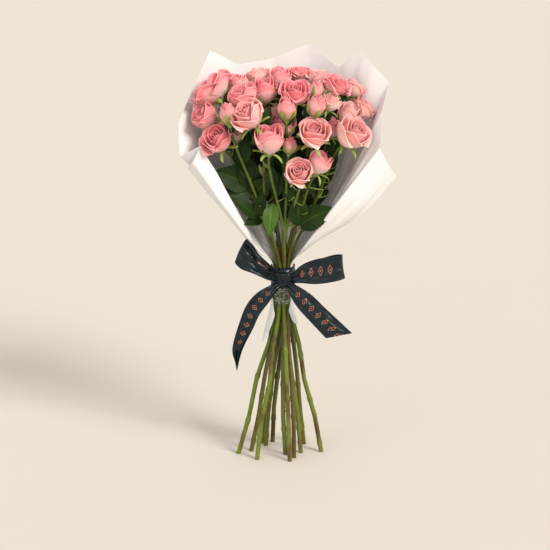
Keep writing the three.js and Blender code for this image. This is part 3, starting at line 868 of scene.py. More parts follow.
@dataclass
class Rose:
    """One flower: its petals, hip and sepals.

    Attributes:
        node: the CAD node that it stands for.
        middle: the middle of the flower.
        width: across its petals.
        lean: tilt from upright, in degrees.
        towards: the way that it leans, in degrees.
        stage: how far it has opened.
        seed: sets its small chances.
        finish: of its petals.
        petal_thickness: of each petal, a little more than life so that it holds as a mesh.
        sepal_thickness: of each sepal.
        rows: how many points each petal has from foot to rim.
        columns: how many points each petal has from side to side.
        swell: how much wider the loose petals stand than the flower's body.
        golden: how far each whorl turns from the last, in radians.
    """

    node: str
    middle: Point
    width: float
    lean: float
    towards: float
    stage: Stage
    seed: int
    finish: Finish = PETAL
    petal_thickness: float = 0.4
    sepal_thickness: float = 0.45
    rows: int = 13
    columns: int = 13
    swell: float = 1.1
    golden: float = 2.4

    def __post_init__(self) -> None:
        """Works out the flower's axis, height and base."""
        self.axis = axis_of(self.lean, self.towards)
        self.height = self.stage.value[0] * self.width
        self.base = np.array(self.middle) - self.axis * self.height / 2
        self.girth = self.width * self.swell
        self.chance = np.random.default_rng(self.seed)

    def petal(self, whorl: Whorl, angle: float, outward: float) -> tuple[np.ndarray, dict[str, Any]]:
        """Shapes one petal.

        Args:
            whorl: the turn that it belongs to.
            angle: where it stands round the axis, in radians.
            outward: 0 at the heart and 1 outside.

        Returns:
            Its grid of points and the values on them.
        """
        levels = 1 - (1 - np.linspace(0, 1, self.rows)) ** 1.35
        u, v = np.meshgrid(np.linspace(-1, 1, self.columns), levels)
        jitter = np.clip(self.chance.normal(0, 1, 10), -1.8, 1.8)
        half = math.radians(whorl.wrap) * (1 + 0.07 * jitter[0])
        reach = self.girth / 2 * whorl.radius * (1 + 0.035 * jitter[1])
        tall = self.height * (whorl.top - 0.08) * (1 + 0.035 * jitter[2])
        spread = half * (0.3 + 0.7 * np.sin(np.pi / 2 * np.clip(v / 0.6, 0, 1)))
        spread = spread * (1 - 0.2 * ease(v, 0.78, 1))
        belly = (1 - (1 - v) ** 2.5) ** 0.75
        lip = ease(v, 0.76, 1.0)
        loose = whorl.curl * (1 + 0.38 * jitter[6])
        roll = loose * (0.4 + 1.05 * np.abs(u) ** 1.6 * (1 + 0.45 * np.sign(u) * np.sign(jitter[7])))
        roll = 0.3 * np.tanh(roll / 0.3)
        radius = reach * (0.1 + 0.9 * belly) * (1 - whorl.close * ease(v, 0.5, 1.0))
        radius += reach * roll * lip ** 1.3 + reach * 0.035 * jitter[8] * outward * v
        radius *= 1 + 0.055 * u + 0.02 * np.sin(3 * u + jitter[3] * 3) * v
        rise = tall * v - tall * (0.1 + 0.7 * whorl.curl) * np.abs(u) ** 1.9 * ease(v, 0.35, 1)
        rise -= tall * roll * 0.5 * lip ** 2
        rise += tall * 0.22 * whorl.curl * np.exp(-((u * 2.6) ** 2)) * lip
        rise += tall * 0.012 * np.sin(6 * u + jitter[4] * 4) * lip
        theta = angle + u * spread
        rise = rise + self.height * 0.08
        local = np.stack([radius * np.cos(theta), radius * np.sin(theta), rise], axis=2)
        points = local @ frame_of(self.axis) + self.base
        tone = float(np.clip(0.35 + 0.28 * jitter[5], 0, 1))
        return points, {"along": v, "across": u, "outward": outward, "tone": tone}

    def petals(self, mould: Mould) -> None:
        """Adds all the whorls, each turned from the last so that the petals overlap.

        Args:
            mould: what collects them.
        """
        whorls = self.stage.value[1]
        turn = self.chance.uniform(0, 2 * math.pi)
        for k, whorl in enumerate(whorls):
            turn += self.golden
            for j in range(whorl.petals):
                angle = turn + j * 2 * math.pi / whorl.petals + self.chance.normal(0, 0.06)
                points, values = self.petal(whorl, angle, k / (len(whorls) - 1))
                mould.shell(points, self.petal_thickness, **values)

    def hip(self, mould: Mould) -> None:
        """Adds the green swelling under the petals.

        Args:
            mould: what collects it.
        """
        levels = np.linspace(0, 1, 9)
        path = self.base + np.outer(levels * self.height * 0.2 - 0.5, self.axis)
        bulge = np.sin(np.pi * np.clip(levels * 0.75 + 0.05, 0, 1)) ** 0.8
        radii = 1.7 + (0.115 * self.width - 1.0) * bulge
        mould.tube(path, radii, 12, 1, along=0.6 + 0 * levels, across=0.5)

    def sepals(self, mould: Mould) -> None:
        """Adds five narrow green sepals that hug a bud and turn down under an open flower.

        Args:
            mould: what collects them.
        """
        hugging = self.stage is Stage.BUD
        turn = self.chance.uniform(0, 2 * math.pi)
        radius = self.width / 2
        for k in range(5):
            length = self.height * (0.62 if hugging else 0.66) * self.chance.uniform(0.8, 1.2)
            bend = self.chance.uniform(0.0, 0.35) if hugging else self.chance.uniform(0.5, 1.6)
            u, t = np.meshgrid(np.linspace(-1, 1, 5), np.linspace(0, 1, 9))
            wide = (0.17 if hugging else 0.095) * self.width * (1 - t) ** 0.7 * (0.55 + 0.9 * t)
            if hugging:
                hug = 0.3 + 0.78 * np.sin(np.pi / 2 * np.clip(t * 1.5, 0, 1))
                out = radius * hug + 0.8 + bend * 9 * t ** 3
                up = self.height * 0.1 + length * t
            else:
                out = radius * 0.3 + length * (0.95 * np.sin(t * 1.5)) * 0.75
                up = self.height * 0.12 + length * (0.3 * t - bend * 0.42 * t ** 2)
            angle = turn + k * 2 * math.pi / 5 + u * wide / np.maximum(out, 2.0) + 0.1 * t
            out = out - 0.6 * np.abs(u) * (1 - t)
            local = np.stack([out * np.cos(angle), out * np.sin(angle), up], axis=2)
            points = local @ frame_of(self.axis) + self.base
            mould.shell(points, self.sepal_thickness, (1, 1), along=t, across=u)

    def make(self, press: Press) -> bpy.types.Object:
        """Builds the flower in place of its CAD node.

        Args:
            press: keeps the petals on the inner side of the paper.

        Returns:
            The flower's object.
        """
        mould = Mould()
        self.petals(mould)
        self.hip(mould)
        self.sepals(mould)
        piece = mould.build(self.node.replace("rose", "flower"), [self.finish, SEPAL], press)
        stand_for(piece, "petals", self.node)
        return piece


LEAF_THICKNESS = 0.35


def leaflet(
    mould: Mould,
    root: Any,
    tip: Any,
    width: float,
    face: Any,
    seed: int,
    slots: tuple[int, int],
    teeth: int = 11,
) -> None:
    """Adds one leaflet with a toothed edge, folded along its midrib and bent along its length.

    Args:
        mould: what collects it.
        root: where it joins its stalk.
        tip: its tip.
        width: across its middle.
        face: the way that it looks.
        seed: sets its bend.
        slots: the material slots of its face and its back.
        teeth: how many teeth each side has.
    """
    chance = np.random.default_rng(seed)
    root, tip = np.array(root, float), np.array(tip, float)
    along = tip - root
    length = np.linalg.norm(along)
    along /= length
    other = np.cross(np.array(face, float), along)
    other /= np.linalg.norm(other)
    up = np.cross(along, other)
    u, t = np.meshgrid(np.linspace(-1, 1, 15), np.linspace(0, 1, teeth * 4 + 1))
    profile = np.sin(np.pi * t ** 0.82) ** 0.78 * (1 - 0.25 * t)
    edge = 1 + 0.09 * ((t * teeth) % 1.0 - 0.5) * ease(np.abs(u), 0.5, 1) * ease(t, 0.05, 0.2)
    wide = width / 2 * 1.12 * np.maximum(profile, 0.02) * edge * u
    fold = 0.16 * np.abs(wide) + 0.025 * width * np.sin(t * 9 + np.sign(u) * 1.2) * np.abs(u)
    droop = chance.uniform(0.03, 0.09) * length * (np.sin(np.pi * t) - 0.6 * t ** 2)
    lean = 0.04 * length * np.sin(np.pi * t) * chance.choice([-1, 1])
    points = root + (t * length)[..., None] * along + (wide + lean)[..., None] * other
    points = points + (fold + droop)[..., None] * up
    mould.shell(points, LEAF_THICKNESS, slots, along=t, across=u)


# ---------------------------------------------------------------------------------------------
# Stems
# ---------------------------------------------------------------------------------------------


@dataclass
class Stem:
    """One stem, with its branches and the flowers on them.

    Attributes:
        number: counts the stems from 1.
        foot: where the cut end stands.
        ring: how far from the axis it passes through the tie.
        turn: where it passes through the tie, in degrees.
        fork: how far up to the flowers it forks, as a share.
        roses: middle, width, lean, the way it leans, and stage of each flower.
        brown: how woody its skin is, from 0 to 1.
        radius: of the stem under the tie.
        branch_radius: of a branch under its flower.
        neck: how far under a flower its branch runs straight.
        tie: the heights between which all the stems are held together.
        shades: the root and tip of each dark leaf that fills a gap between flowers.
        shade_width: across each of those leaves.
        joint_gap: from one swollen joint of the stem to the next.
        prickle_count: how many prickles and leaf stubs it has.
    """

    number: int
    foot: tuple[float, float]
    ring: float
    turn: float
    fork: float
    roses: list[tuple[Point, float, float, float, Stage]]
    brown: float = 0.0
    radius: float = 2.55
    branch_radius: float = 1.45
    neck: float = 12.0
    tie: tuple[float, float] = (180.0, 232.0)
    shades: tuple[tuple[Point, Point], ...] = ()
    shade_width: float = 19.0
    joint_gap: float = 55.0
    prickle_count: int = 9

    def flowers(self) -> list[Rose]:
        """Makes the stem's flowers: buds greener, about a third of the others paler, and those of
        stems 11 and 12 paler as painted highlight where the light falls on the bunch's right.

        Returns:
            The flowers, in the order of their letters.
        """
        made = []
        for place, rose in enumerate(self.roses):
            seed = self.number * 10 + place
            # every third flower is paler at random; stems 11 and 12 on the lit right side take the
            # paler petals as painted highlight
            finish = PALE_PETAL if seed % 3 == 0 or self.number > 10 else PETAL
            if rose[4] is Stage.BUD:
                finish = BUD_PETAL
            made.append(Rose(f"rose_{self.number:02d}{'abcd'[place]}", *rose, seed, finish))
        return made

    def paths(self) -> tuple[np.ndarray, list[np.ndarray]]:
        """Draws the trunk from its foot through the tie to the fork, and a branch to each flower.

        Returns:
            The trunk's points and each branch's.
        """
        angle = math.radians(self.turn)
        x, y = self.ring * math.cos(angle), self.ring * math.sin(angle)
        low, high = (np.array([x, y, z]) for z in self.tie)
        flowers = self.flowers()
        centre = np.mean([f.base for f in flowers], axis=0)
        fork = high + (centre - high) * self.fork
        ground = np.array([*self.foot, 0.0])
        knee = ground + (low - ground) * 0.55
        trunk = curve_through([ground, knee, low, high, fork], 36)
        trunk[0, 2] = 0.0
        branches = []
        for flower in flowers:
            neck = flower.base - flower.axis * self.neck
            points = [fork, fork + (neck - fork) * 0.55, neck, flower.base + flower.axis * 0.3]
            branches.append(curve_through(points, 8))
        return trunk, branches

    def skin(self, path: np.ndarray, radius: float, chance: np.random.Generator) -> np.ndarray:
        """Works out the radius along a path, with its swollen joints.

        Args:
            path: the points along the middle.
            radius: under the tie.
            chance: moves the joints.

        Returns:
            The radius at each point.
        """
        run = np.concatenate([[0], np.cumsum(np.linalg.norm(np.diff(path, axis=0), axis=1))])
        start = chance.uniform(10, 50)
        count = (run - start) / self.joint_gap
        beat = np.abs(count - np.round(count)) * self.joint_gap
        slim = 1.04 - 0.42 * ease(path[:, 2], 150, 290)
        return radius * (1 + 0.27 * np.exp(-((beat / 2.6) ** 2))) * slim

    def bowed(self, trunk: np.ndarray, chance: np.random.Generator) -> np.ndarray:
        """Bends the trunk slightly at its joints between the ground and the tie.

        Args:
            trunk: the trunk's points.
            chance: sets the bends.

        Returns:
            The bent trunk's points.
        """
        low = self.tie[0]
        knots = np.linspace(0, low, 5)
        shift = chance.uniform(-2.3, 2.3, (5, 2))
        shift[0] = shift[-1] = 0.0
        bent = trunk + 0.0
        for k in (0, 1):
            sway = np.interp(trunk[:, 2], knots, shift[:, k])
            bent[:, k] += sway * (trunk[:, 2] < low)
        return bent

    def prickles(self, mould: Mould, path: np.ndarray, chance: np.random.Generator) -> None:
        """Adds a few short prickles and leaf stubs that point down and out.

        Args:
            mould: what collects them.
            path: the trunk's points.
            chance: sets where they stand.
        """
        for k in chance.choice(np.arange(6, len(path) - 6), self.prickle_count, replace=False):
            angle = chance.uniform(0, 2 * math.pi)
            out = np.array([math.cos(angle), math.sin(angle), 0.0])
            root = path[k] + out * self.radius * 0.8
            tip = root + out * chance.uniform(1.8, 3.4) + np.array([0, 0, chance.uniform(-2.0, 1.8)])
            taper = np.array([1.3, 0.8, 0.45, 0.12])
            mould.tube(np.linspace(root, tip, 4), taper, 6, 0, along=0.3, tone=0.7)

    def make(self, press: Press) -> bpy.types.Object:
        """Builds the stem in place of its CAD node.

        Args:
            press: keeps the small leaves on the inner side of the paper.

        Returns:
            The stem's object.
        """
        chance = np.random.default_rng(100 + self.number)
        mould = Mould()
        trunk, branches = self.paths()
        fine = self.bowed(trunk, chance)
        rise = np.clip(fine[:, 2] / 420, 0, 1)
        tone = np.full(len(fine), self.brown)
        mould.tube(fine, self.skin(fine, self.radius, chance), 12, along=rise, tone=tone)
        self.prickles(mould, fine, chance)
        for branch in branches:
            slim = np.linspace(self.branch_radius * 1.25, self.branch_radius, len(branch))
            along = np.clip(branch[:, 2] / 400, 0, 1)
            mould.tube(branch, slim, 9, along=along, tone=self.brown * 0.4)
            for share in (0.08, 0.3, 0.62):
                self.bract(mould, branch[int(len(branch) * share)], branch[-1] - branch[0], chance)
            for low in (0.12, 0.38, 0.62):
                self.upper_leaf(mould, branch, low, chance)
        for root, tip in self.shades:
            leaflet(mould, root, tip, self.shade_width, (0.1, -1.0, 0.2), self.number, (3, 2), 8)
        finishes = [STALK, SEPAL, LEAF_TOP, LEAF_BACK]
        piece = mould.build(f"rose_stem_{self.number:02d}", finishes, press)
        stand_for(piece, "stems", f"stem_{self.number:02d}")
        return piece

    def upper_leaf(
        self, mould: Mould, branch: np.ndarray, low: float, chance: np.random.Generator
    ) -> None:
        """Adds one small dark leaf that stands behind a flower.

        Args:
            mould: what collects it.
            branch: the branch's points.
            low: the least share of the way up the branch at which it grows.
            chance: sets its place, size and look.
        """
        root = branch[int(len(branch) * chance.uniform(low, low + 0.25))]
        way = np.array([chance.uniform(-0.55, 0.55), chance.uniform(0.15, 0.5), 1.0])
        length = chance.uniform(24, 34)
        tip = root + way / np.linalg.norm(way) * length
        tip[2] = min(tip[2], 428.0)
        look = (chance.uniform(-0.4, 0.4), -1.0, 0.3)
        leaflet(mould, root, tip, length * 0.52, look, int(chance.integers(1000)), (3, 2), 8)

    def bract(
        self, mould: Mould, root: np.ndarray, way: np.ndarray, chance: np.random.Generator
    ) -> None:
        """Adds one small narrow leaf that curls away from a branch.

        Args:
            mould: what collects it.
            root: where it grows.
            way: the way that the branch runs.
            chance: sets its size and bend.
        """
        up = way / np.linalg.norm(way)
        angle = chance.uniform(0, 2 * math.pi)
        side, other, _ = frame_of(up, angle)
        length, width = chance.uniform(10, 24), chance.uniform(1.0, 2.1)
        u, t = np.meshgrid(np.linspace(-1, 1, 4), np.linspace(0, 1, 9))
        bend = chance.uniform(0.4, 2.0)
        out = length * np.sin(t * bend) / bend
        rise = length * (np.cos(t * bend) - 1) / bend * -0.6 + length * 0.4 * t
        wide = width * np.sin(np.pi * np.clip(t * 0.9 + 0.1, 0, 1)) ** 0.8 * u
        points = root + out[..., None] * side + rise[..., None] * up + wide[..., None] * other
        mould.shell(points, LEAF_THICKNESS, (1, 1), along=t, across=u)


B, C, H, O = Stage.BUD, Stage.CUP, Stage.HALF, Stage.OPEN
STEMS = [
    Stem(1, (-52, -5), 8.1, 200, 0.42, [
        ((-86, -25, 404), 29, 45, 200, H), ((-80, -5, 430), 43, 45, 165, O),
        ((-53, -20, 382), 17, 20, 190, C)]),
    Stem(2, (-37, 4), 8.1, 160, 0.45, [
        ((-49, 2, 438), 19, 20, 170, C), ((-63, 25, 432), 24, 35, 150, H)], 0.45),
    Stem(3, (-30, -26), 8.1, 240, 0.36, [
        ((-37, -58, 413), 33, 40, 215, H), ((-62, -48, 413), 20, 12, 190, B),
        ((-72, -42, 382), 31, 45, 235, H)]),
    Stem(4, (-20, 24), 3.06, 140, 0.5, [
        ((-21, -15, 432), 28, 10, 270, C), ((-44, -32, 428), 30, 25, 190, H),
        ((-10, -14, 405), 21, 10, 200, C)], 0.3),
    Stem(5, (-12, 38), 8.1, 80, 0.5, [
        ((19, 13, 446), 27, 8, 60, O), ((2, 38, 434), 26, 30, 95, H)], 0.2),
    Stem(6, (-23, 33), 8.1, 120, 0.5, [((-27, 15, 442), 25, 12, 140, H)], 0.35),
    Stem(7, (8, -32), 8.1, 280, 0.3, [
        ((-16, -60, 385), 32, 14, 270, C), ((7.5, -50, 378), 15.6, 10, 320, B),
        ((17.5, -62, 349), 27, 45, 265, H)]),
    Stem(8, (3, -8), 3.06, 260, 0.45, [
        ((13, -29, 431), 30, 26, 280, H), ((3.5, -49, 419), 21, 8, 270, B),
        ((-1, -29, 393), 29, 10, 260, C), ((-2, -2, 445), 23, 5, 270, C)], 0.15,
        shades=(
            ((8, -12, 364), (16, -10, 422)), ((20, -12, 356), (27, -8, 416)),
            ((-12, -10, 352), (-20, -6, 404)))),
    Stem(9, (13, -20), 8.1, 320, 0.34, [
        ((34, -55, 391), 33, 35, 280, H), ((37, -48, 422), 21, 18, 310, B),
        ((40, -48, 356), 25.5, 25, 345, C)], 0.6),
    Stem(10, (21, -2), 3.06, 20, 0.48, [
        ((59, -15, 439), 28, 30, 340, O), ((37, -22, 434), 20, 10, 0, B),
        ((52, -35, 423), 20, 22, 330, C), ((54, -26, 392), 22, 25, 310, C)], 0.1),
    Stem(11, (25, 30), 8.1, 40, 0.45, [
        ((79, 10, 430), 23, 38, 20, H), ((39, 2, 443), 22.5, 12, 40, H),
        ((44, 28, 431), 24, 26, 60, H)], 0.3),
    Stem(12, (45, 2), 8.1, 0, 0.4, [
        ((88, 2, 408), 27, 46, 0, H), ((73, -18, 404), 27, 30, 350, C),
        ((75, -44, 389), 35.5, 42, 325, H)]),
]


# ---------------------------------------------------------------------------------------------
# Leaves
# ---------------------------------------------------------------------------------------------


@dataclass
class CompoundLeaf:
    """A leaf of several toothed leaflets on one stalk.

    Attributes:
        node: the CAD node that it stands for.
        start: where the stalk leaves the stem.
        joint: where the end leaflet begins.
        tip: the end leaflet's tip.
        width: across the end leaflet.
        face: the way that the leaf looks.
        sides: the side leaflets' tips.
        finishes: the finishes of its face and back.
    """

    node: str
    start: Point
    joint: Point
    tip: Point
    width: float
    face: Point
    sides: list[Point]
    finishes: tuple[Finish, Finish] = (LEAF_TOP, LEAF_BACK)

    def make(self) -> bpy.types.Object:
        """Builds the leaf in place of its CAD node.

        Returns:
            The leaf's object.
        """
        mould = Mould()
        start, joint = np.array(self.start, float), np.array(self.joint, float)
        bend = (start + joint) / 2 + np.array([0, 0, -2.0])
        path = curve_through([start, bend, joint], 7)
        mould.tube(path, np.linspace(1.0, 0.6, len(path)), 8, 2, along=0.8, tone=0.2)
        seed = sum(ord(c) for c in self.node) + int(self.width * 7)
        leaflet(mould, joint - (joint - start) * 0.05, self.tip, self.width, self.face, seed, (1, 0))
        for k, side in enumerate(self.sides):
            root = start + (joint - start) * (0.92 - 0.16 * k)
            leaflet(mould, root, side, self.width * 0.82, self.face, seed + 1 + k, (1, 0))
        piece = mould.build(self.node.replace("leaf", "rose_leaf"), [*self.finishes, STALK])
        stand_for(piece, "leaves", self.node)
        return piece


LEAVES = [
    CompoundLeaf("leaf_01", (-22, -17, 292), (-40, -26, 328), (-77, -34, 346), 30, (0.2, -1, 0.3),
                 [(-44, -28, 364), (-70, -34, 320), (-16, -34, 338)]),
    CompoundLeaf("leaf_02", (-13, -19, 272), (-27, -27, 292), (-58, -37, 316), 17, (0.1, -1, 0.7),
                 [(-24, -32, 322), (-44, -34, 284)]),
    CompoundLeaf("leaf_03", (-7, -17, 296), (-12, -33, 309), (-15, -43, 272), 18, (0.1, -1, 0.2),
                 [], (YOUNG_TOP, YOUNG_BACK)),
    CompoundLeaf("leaf_04", (11, -12, 262), (19, -24, 281), (58, -37, 303), 29, (0.2, -1, 0.4),
                 [(18, -36, 322)]),
    CompoundLeaf("leaf_05", (-9, 13, 262), (-21, 29, 326), (-31, 33, 388), 34, (0, -1, 0.1),
                 [(-54, 26, 350), (4, 36, 362), (-48, 24, 318), (10, 32, 322)]),
    CompoundLeaf("leaf_06", (13, 11, 262), (29, 22, 324), (40, 27, 384), 34, (0, -1, 0.1),
                 [(61, 15, 347), (14, 31, 350), (52, 12, 312), (13, 25, 300)]),
]


# ---------------------------------------------------------------------------------------------
# Paper
# ---------------------------------------------------------------------------------------------


@dataclass
class PaperSheet:
    """One sheet of wrapping paper, gathered at the tie and opening upwards.

    Attributes:
        node: the CAD node that it stands for.
        folds: one line of points for each fold, from the skirt under the tie to the top edge.
        flat: the sheet's width and length before it was gathered, in metres; not used.
        flat_area: the flat cut's area in square metres; not used.
        seed: moves the wrinkles.
        pleats: how closely the pleats that fan up from the tie follow one another.
        thickness: of the sheet, a little more than life so that it holds as a mesh.
        fineness: how many points each stretch between two folds has.
    """

    node: str
    folds: list[list[Point]]
    flat: tuple[float, float]
    flat_area: float
    seed: float
    pleats: float = 21.0
    thickness: float = 0.3
    fineness: int = 12

    def surface(self) -> tuple[np.ndarray, np.ndarray]:
        """Draws the sheet from its folds.

        Returns:
            Its grid of points, and how far up each one is, from 0 to 1.
        """
        lines = []
        for skirt, low, high, *rest in self.folds:
            half = tuple((a + b) / 2 for a, b in zip(low, high))
            lines.append(curve_through([skirt, low, half, high, *rest], self.fineness))
        net = np.array(lines)
        return self.folded(net)

    def folded(self, net: np.ndarray) -> tuple[np.ndarray, np.ndarray]:
        """Joins the folds: in round curves at the tie, and flatter up to the sharp top edge.

        Args:
            net: the folds' points, fold by fold.

        Returns:
            The grid of points, row by row upwards, and how far up each one is.
        """
        steps = np.arange((len(net) - 1) * self.fineness + 1) / self.fineness
        grid = []
        levels = np.linspace(0, 1, net.shape[1])
        for j, level in enumerate(levels):
            soft = curve_through(net[:, j], self.fineness)
            places = np.arange(len(net))
            sharp = np.stack([np.interp(steps, places, net[:, j, k]) for k in range(3)], axis=1)
            share = 0.9 * float(ease(level, 0.66, 1.0))
            grid.append(soft * (1 - share) + sharp * share)
        return np.array(grid), levels[:, None] * np.ones(len(steps))

    def wrinkles(self, grid: np.ndarray, up: np.ndarray) -> np.ndarray:
        """Works out the sheet's crumple near the top and its pleats behind.

        Args:
            grid: the sheet's grid of points.
            up: how far up each one is, from 0 to 1.

        Returns:
            How far each point moves out of the sheet, in millimetres.
        """
        rows, columns = up.shape
        out = np.zeros((rows, columns))
        pleat = np.zeros((rows, columns))
        for j in range(rows):
            for i in range(columns):
                across = i / columns
                level = up[j, i]
                fold = noise.noise(Vector((across * self.pleats, level * 0.9, self.seed + 4)))
                pleat[j, i] = 2.8 * max(1 - 2.2 * abs(fold), 0) ** 1.5
                soft = noise.noise(Vector((across * 7 + self.seed, level * 2.2, self.seed)))
                fine = noise.noise(Vector((across * 19 + self.seed, level * 7, 3.1)))
                crease = 1 - abs(noise.noise(Vector((across * 5 - self.seed, level * 4.5, 7.7)))) * 4
                out[j, i] = 2.3 * soft + 0.4 * fine + 0.9 * max(crease, 0)
        behind = ease(grid[..., 1], -6.0, 14.0)
        fan = ease(up, 0.46, 0.6) * (1 - ease(up, 0.66, 1.0))
        return out * ease(up, 0.55, 0.85) * (1 + 0.7 * behind) + pleat * fan * behind

    def crumpled(self) -> np.ndarray:
        """Draws the sheet with its wrinkles.

        Returns:
            Its grid of points.
        """
        grid, up = self.surface()
        normal = np.cross(np.gradient(grid, axis=1), np.gradient(grid, axis=0))
        normal /= np.linalg.norm(normal, axis=2, keepdims=True) + NO_ZERO
        return grid + normal * self.wrinkles(grid, up)[..., None]

    def make(self) -> bpy.types.Object:
        """Builds the sheet in place of its CAD node.

        Returns:
            The sheet's object.
        """
        mould = Mould()
        mould.shell(self.crumpled(), self.thickness)
        piece = mould.build(self.node.replace("paper", "wrap"), [PAPER])
        stand_for(piece, "paper", self.node)
        return piece


LEFT_FOLDS = [
    [(-9.5, -11.5, 170), (-12.0, -4.1, 190), (-12.1, -4.2, 231),
     (-28, -14, 246), (-66, -29, 297), (-107, -40, 351)],
    [(-15.5, -12, 153), (-12.5, -3.2, 190), (-12.6, -3.6, 231),
     (-27, -18, 247), (-61, -42, 299), (-101, -49, 360)],
    [(-24, -7, 138), (-12.7, -1.6, 190), (-12.9, -1.8, 231),
     (-25, -15, 248), (-51, -38, 302), (-92, -48, 378)],
    [(-23, -4, 144), (-12.7, -0.2, 190), (-12.9, -0.2, 231),
     (-26.5, -8, 249), (-64, -23, 303), (-116, -36, 363)],
    [(-21, -1, 150), (-12.6, 1.2, 190), (-12.8, 1.4, 231),
     (-26, -2, 250), (-62, -14, 312), (-118, -22, 398)],
    [(-16, 5, 168), (-11.7, 4.9, 190), (-11.9, 5.0, 231),
     (-25, 10, 252), (-64, 12, 318), (-108, 6, 420)],
    [(-12, 10, 174), (-9.2, 8.8, 190), (-9.3, 8.9, 231),
     (-20, 21, 254), (-52, 32, 325), (-84, 20, 473)],
    [(-6, 14, 176), (-4.6, 11.9, 190), (-4.7, 12.0, 231),
     (-10, 29, 256), (-30, 50, 335), (-50, 46, 452)],
    [(2, 14, 176), (1.6, 12.7, 190), (1.7, 12.8, 231),
     (6, 33, 256), (-2, 62, 340), (-12, 64, 456)],
    [(9, 12, 176), (7.1, 10.6, 190), (7.2, 10.8, 231),
     (18, 31, 256), (28, 62, 340), (30, 60, 473)],
    [(12, 9, 176), (10.2, 7.6, 190), (10.4, 7.9, 231),
     (28, 26, 256), (56, 52, 335), (66, 50, 446)],
]
RIGHT_FOLDS = [
    [(6.5, -12.5, 176), (9.2, -7.6, 190), (9.4, -7.7, 231),
     (37, -15, 257), (86, -25, 290), (128, -30, 339)],
    [(11.5, -12, 163), (10.6, -5.4, 190), (10.8, -5.6, 231),
     (29, -20, 253), (76, -38, 300), (119, -38, 352)],
    [(17, -6, 158), (11.5, -3.1, 190), (11.7, -3.2, 231),
     (22, -20, 251), (62, -42, 312), (108, -42, 374)],
    [(16, -1, 164), (11.9, -0.6, 190), (12.1, -0.6, 231),
     (24, -10, 252), (66, -26, 322), (112, -16, 412)],
    [(14, 3, 172), (11.7, 2.2, 190), (11.9, 2.3, 231),
     (26, 3, 254), (68, -2, 326), (119, 0, 440)],
    [(13, 5, 174), (11.1, 4.4, 190), (11.3, 4.5, 231),
     (26, 13, 255), (62, 20, 330), (86, 18, 472)],
    [(11, 7, 176), (9.9, 6.5, 190), (10.0, 6.6, 231),
     (23, 20, 256), (50, 36, 334), (60, 34, 448)],
]
PAPERS = [
    PaperSheet("paper_left", LEFT_FOLDS, (0.3, 0.34), 0.05, 2.3),
    PaperSheet("paper_right", RIGHT_FOLDS, (0.2, 0.32), 0.027, 5.9, 17.0),
]


class Walls:
    """The inner faces of the paper, which flowers and their small leaves press against.

    Attributes:
        low: the height under which the stems are tied too tightly to press, in millimetres.
        reach: how close to the paper a point has to be.
        soft: the distance at which a point starts to give way.
        gap: the least distance that it keeps.
        deep: how far past the paper a point may be and still be brought back.
        aside: how far beside the nearest face a point may lie.
    """

    low: float = 240.0
    reach: float = 20.0
    soft: float = 5.0
    gap: float = 0.9
    deep: float = 14.0
    aside: float = 3.0

    def __init__(self, sheets: list[PaperSheet]) -> None:
        """Keeps each sheet's faces, and which of its sides looks inwards.

        Args:
            sheets: the sheets of paper.
        """
        self.faces: list[tuple[BVHTree, float]] = []
        for sheet in sheets:
            grid = sheet.crumpled()
            rows, columns = grid.shape[:2]
            number = np.arange(rows * columns).reshape(rows, columns)
            corners = [number[:-1, :-1], number[:-1, 1:], number[1:, 1:], number[1:, :-1]]
            quads = np.stack(corners, axis=2).reshape(-1, 4)
            tree = BVHTree.FromPolygons(grid.reshape(-1, 3).tolist(), quads.tolist())
            normal = np.cross(np.gradient(grid, axis=1), np.gradient(grid, axis=0))
            inwards = -(normal[..., :2] * grid[..., :2]).sum()
            self.faces.append((tree, math.copysign(1.0, inwards)))

    def hold(self, points: np.ndarray) -> np.ndarray:
        """Moves points that press on the paper or have passed it back to its inner side.

        Args:
            points: rows of x, y and z.

        Returns:
            The same points, the nearer to the paper the more closely packed.
        """
        held = points.copy()
        middle = points.mean(axis=0)
        far = float(np.linalg.norm(points - middle, axis=1).max()) + self.soft
        for tree, sign in self.faces:
            if tree.find_nearest(Vector(middle), far)[0] is None:
                continue
            for k in np.flatnonzero(held[:, 2] > self.low):
                place, normal, _, away = tree.find_nearest(Vector(held[k]), self.reach)
                if place is None:
                    continue
                depth = float((Vector(held[k]) - place).dot(normal)) * sign
                if not -self.deep < depth < self.soft or away - abs(depth) > self.aside:
                    continue
                give = self.soft - self.gap
                kept = self.gap + give * math.exp((depth - self.soft) / give)
                held[k] += np.array(normal) * sign * (kept - depth)
        return held


# ---------------------------------------------------------------------------------------------
# Ribbon and tape
# ---------------------------------------------------------------------------------------------


SATIN_THICKNESS = 0.35
SATIN_WIDTH = 0.026


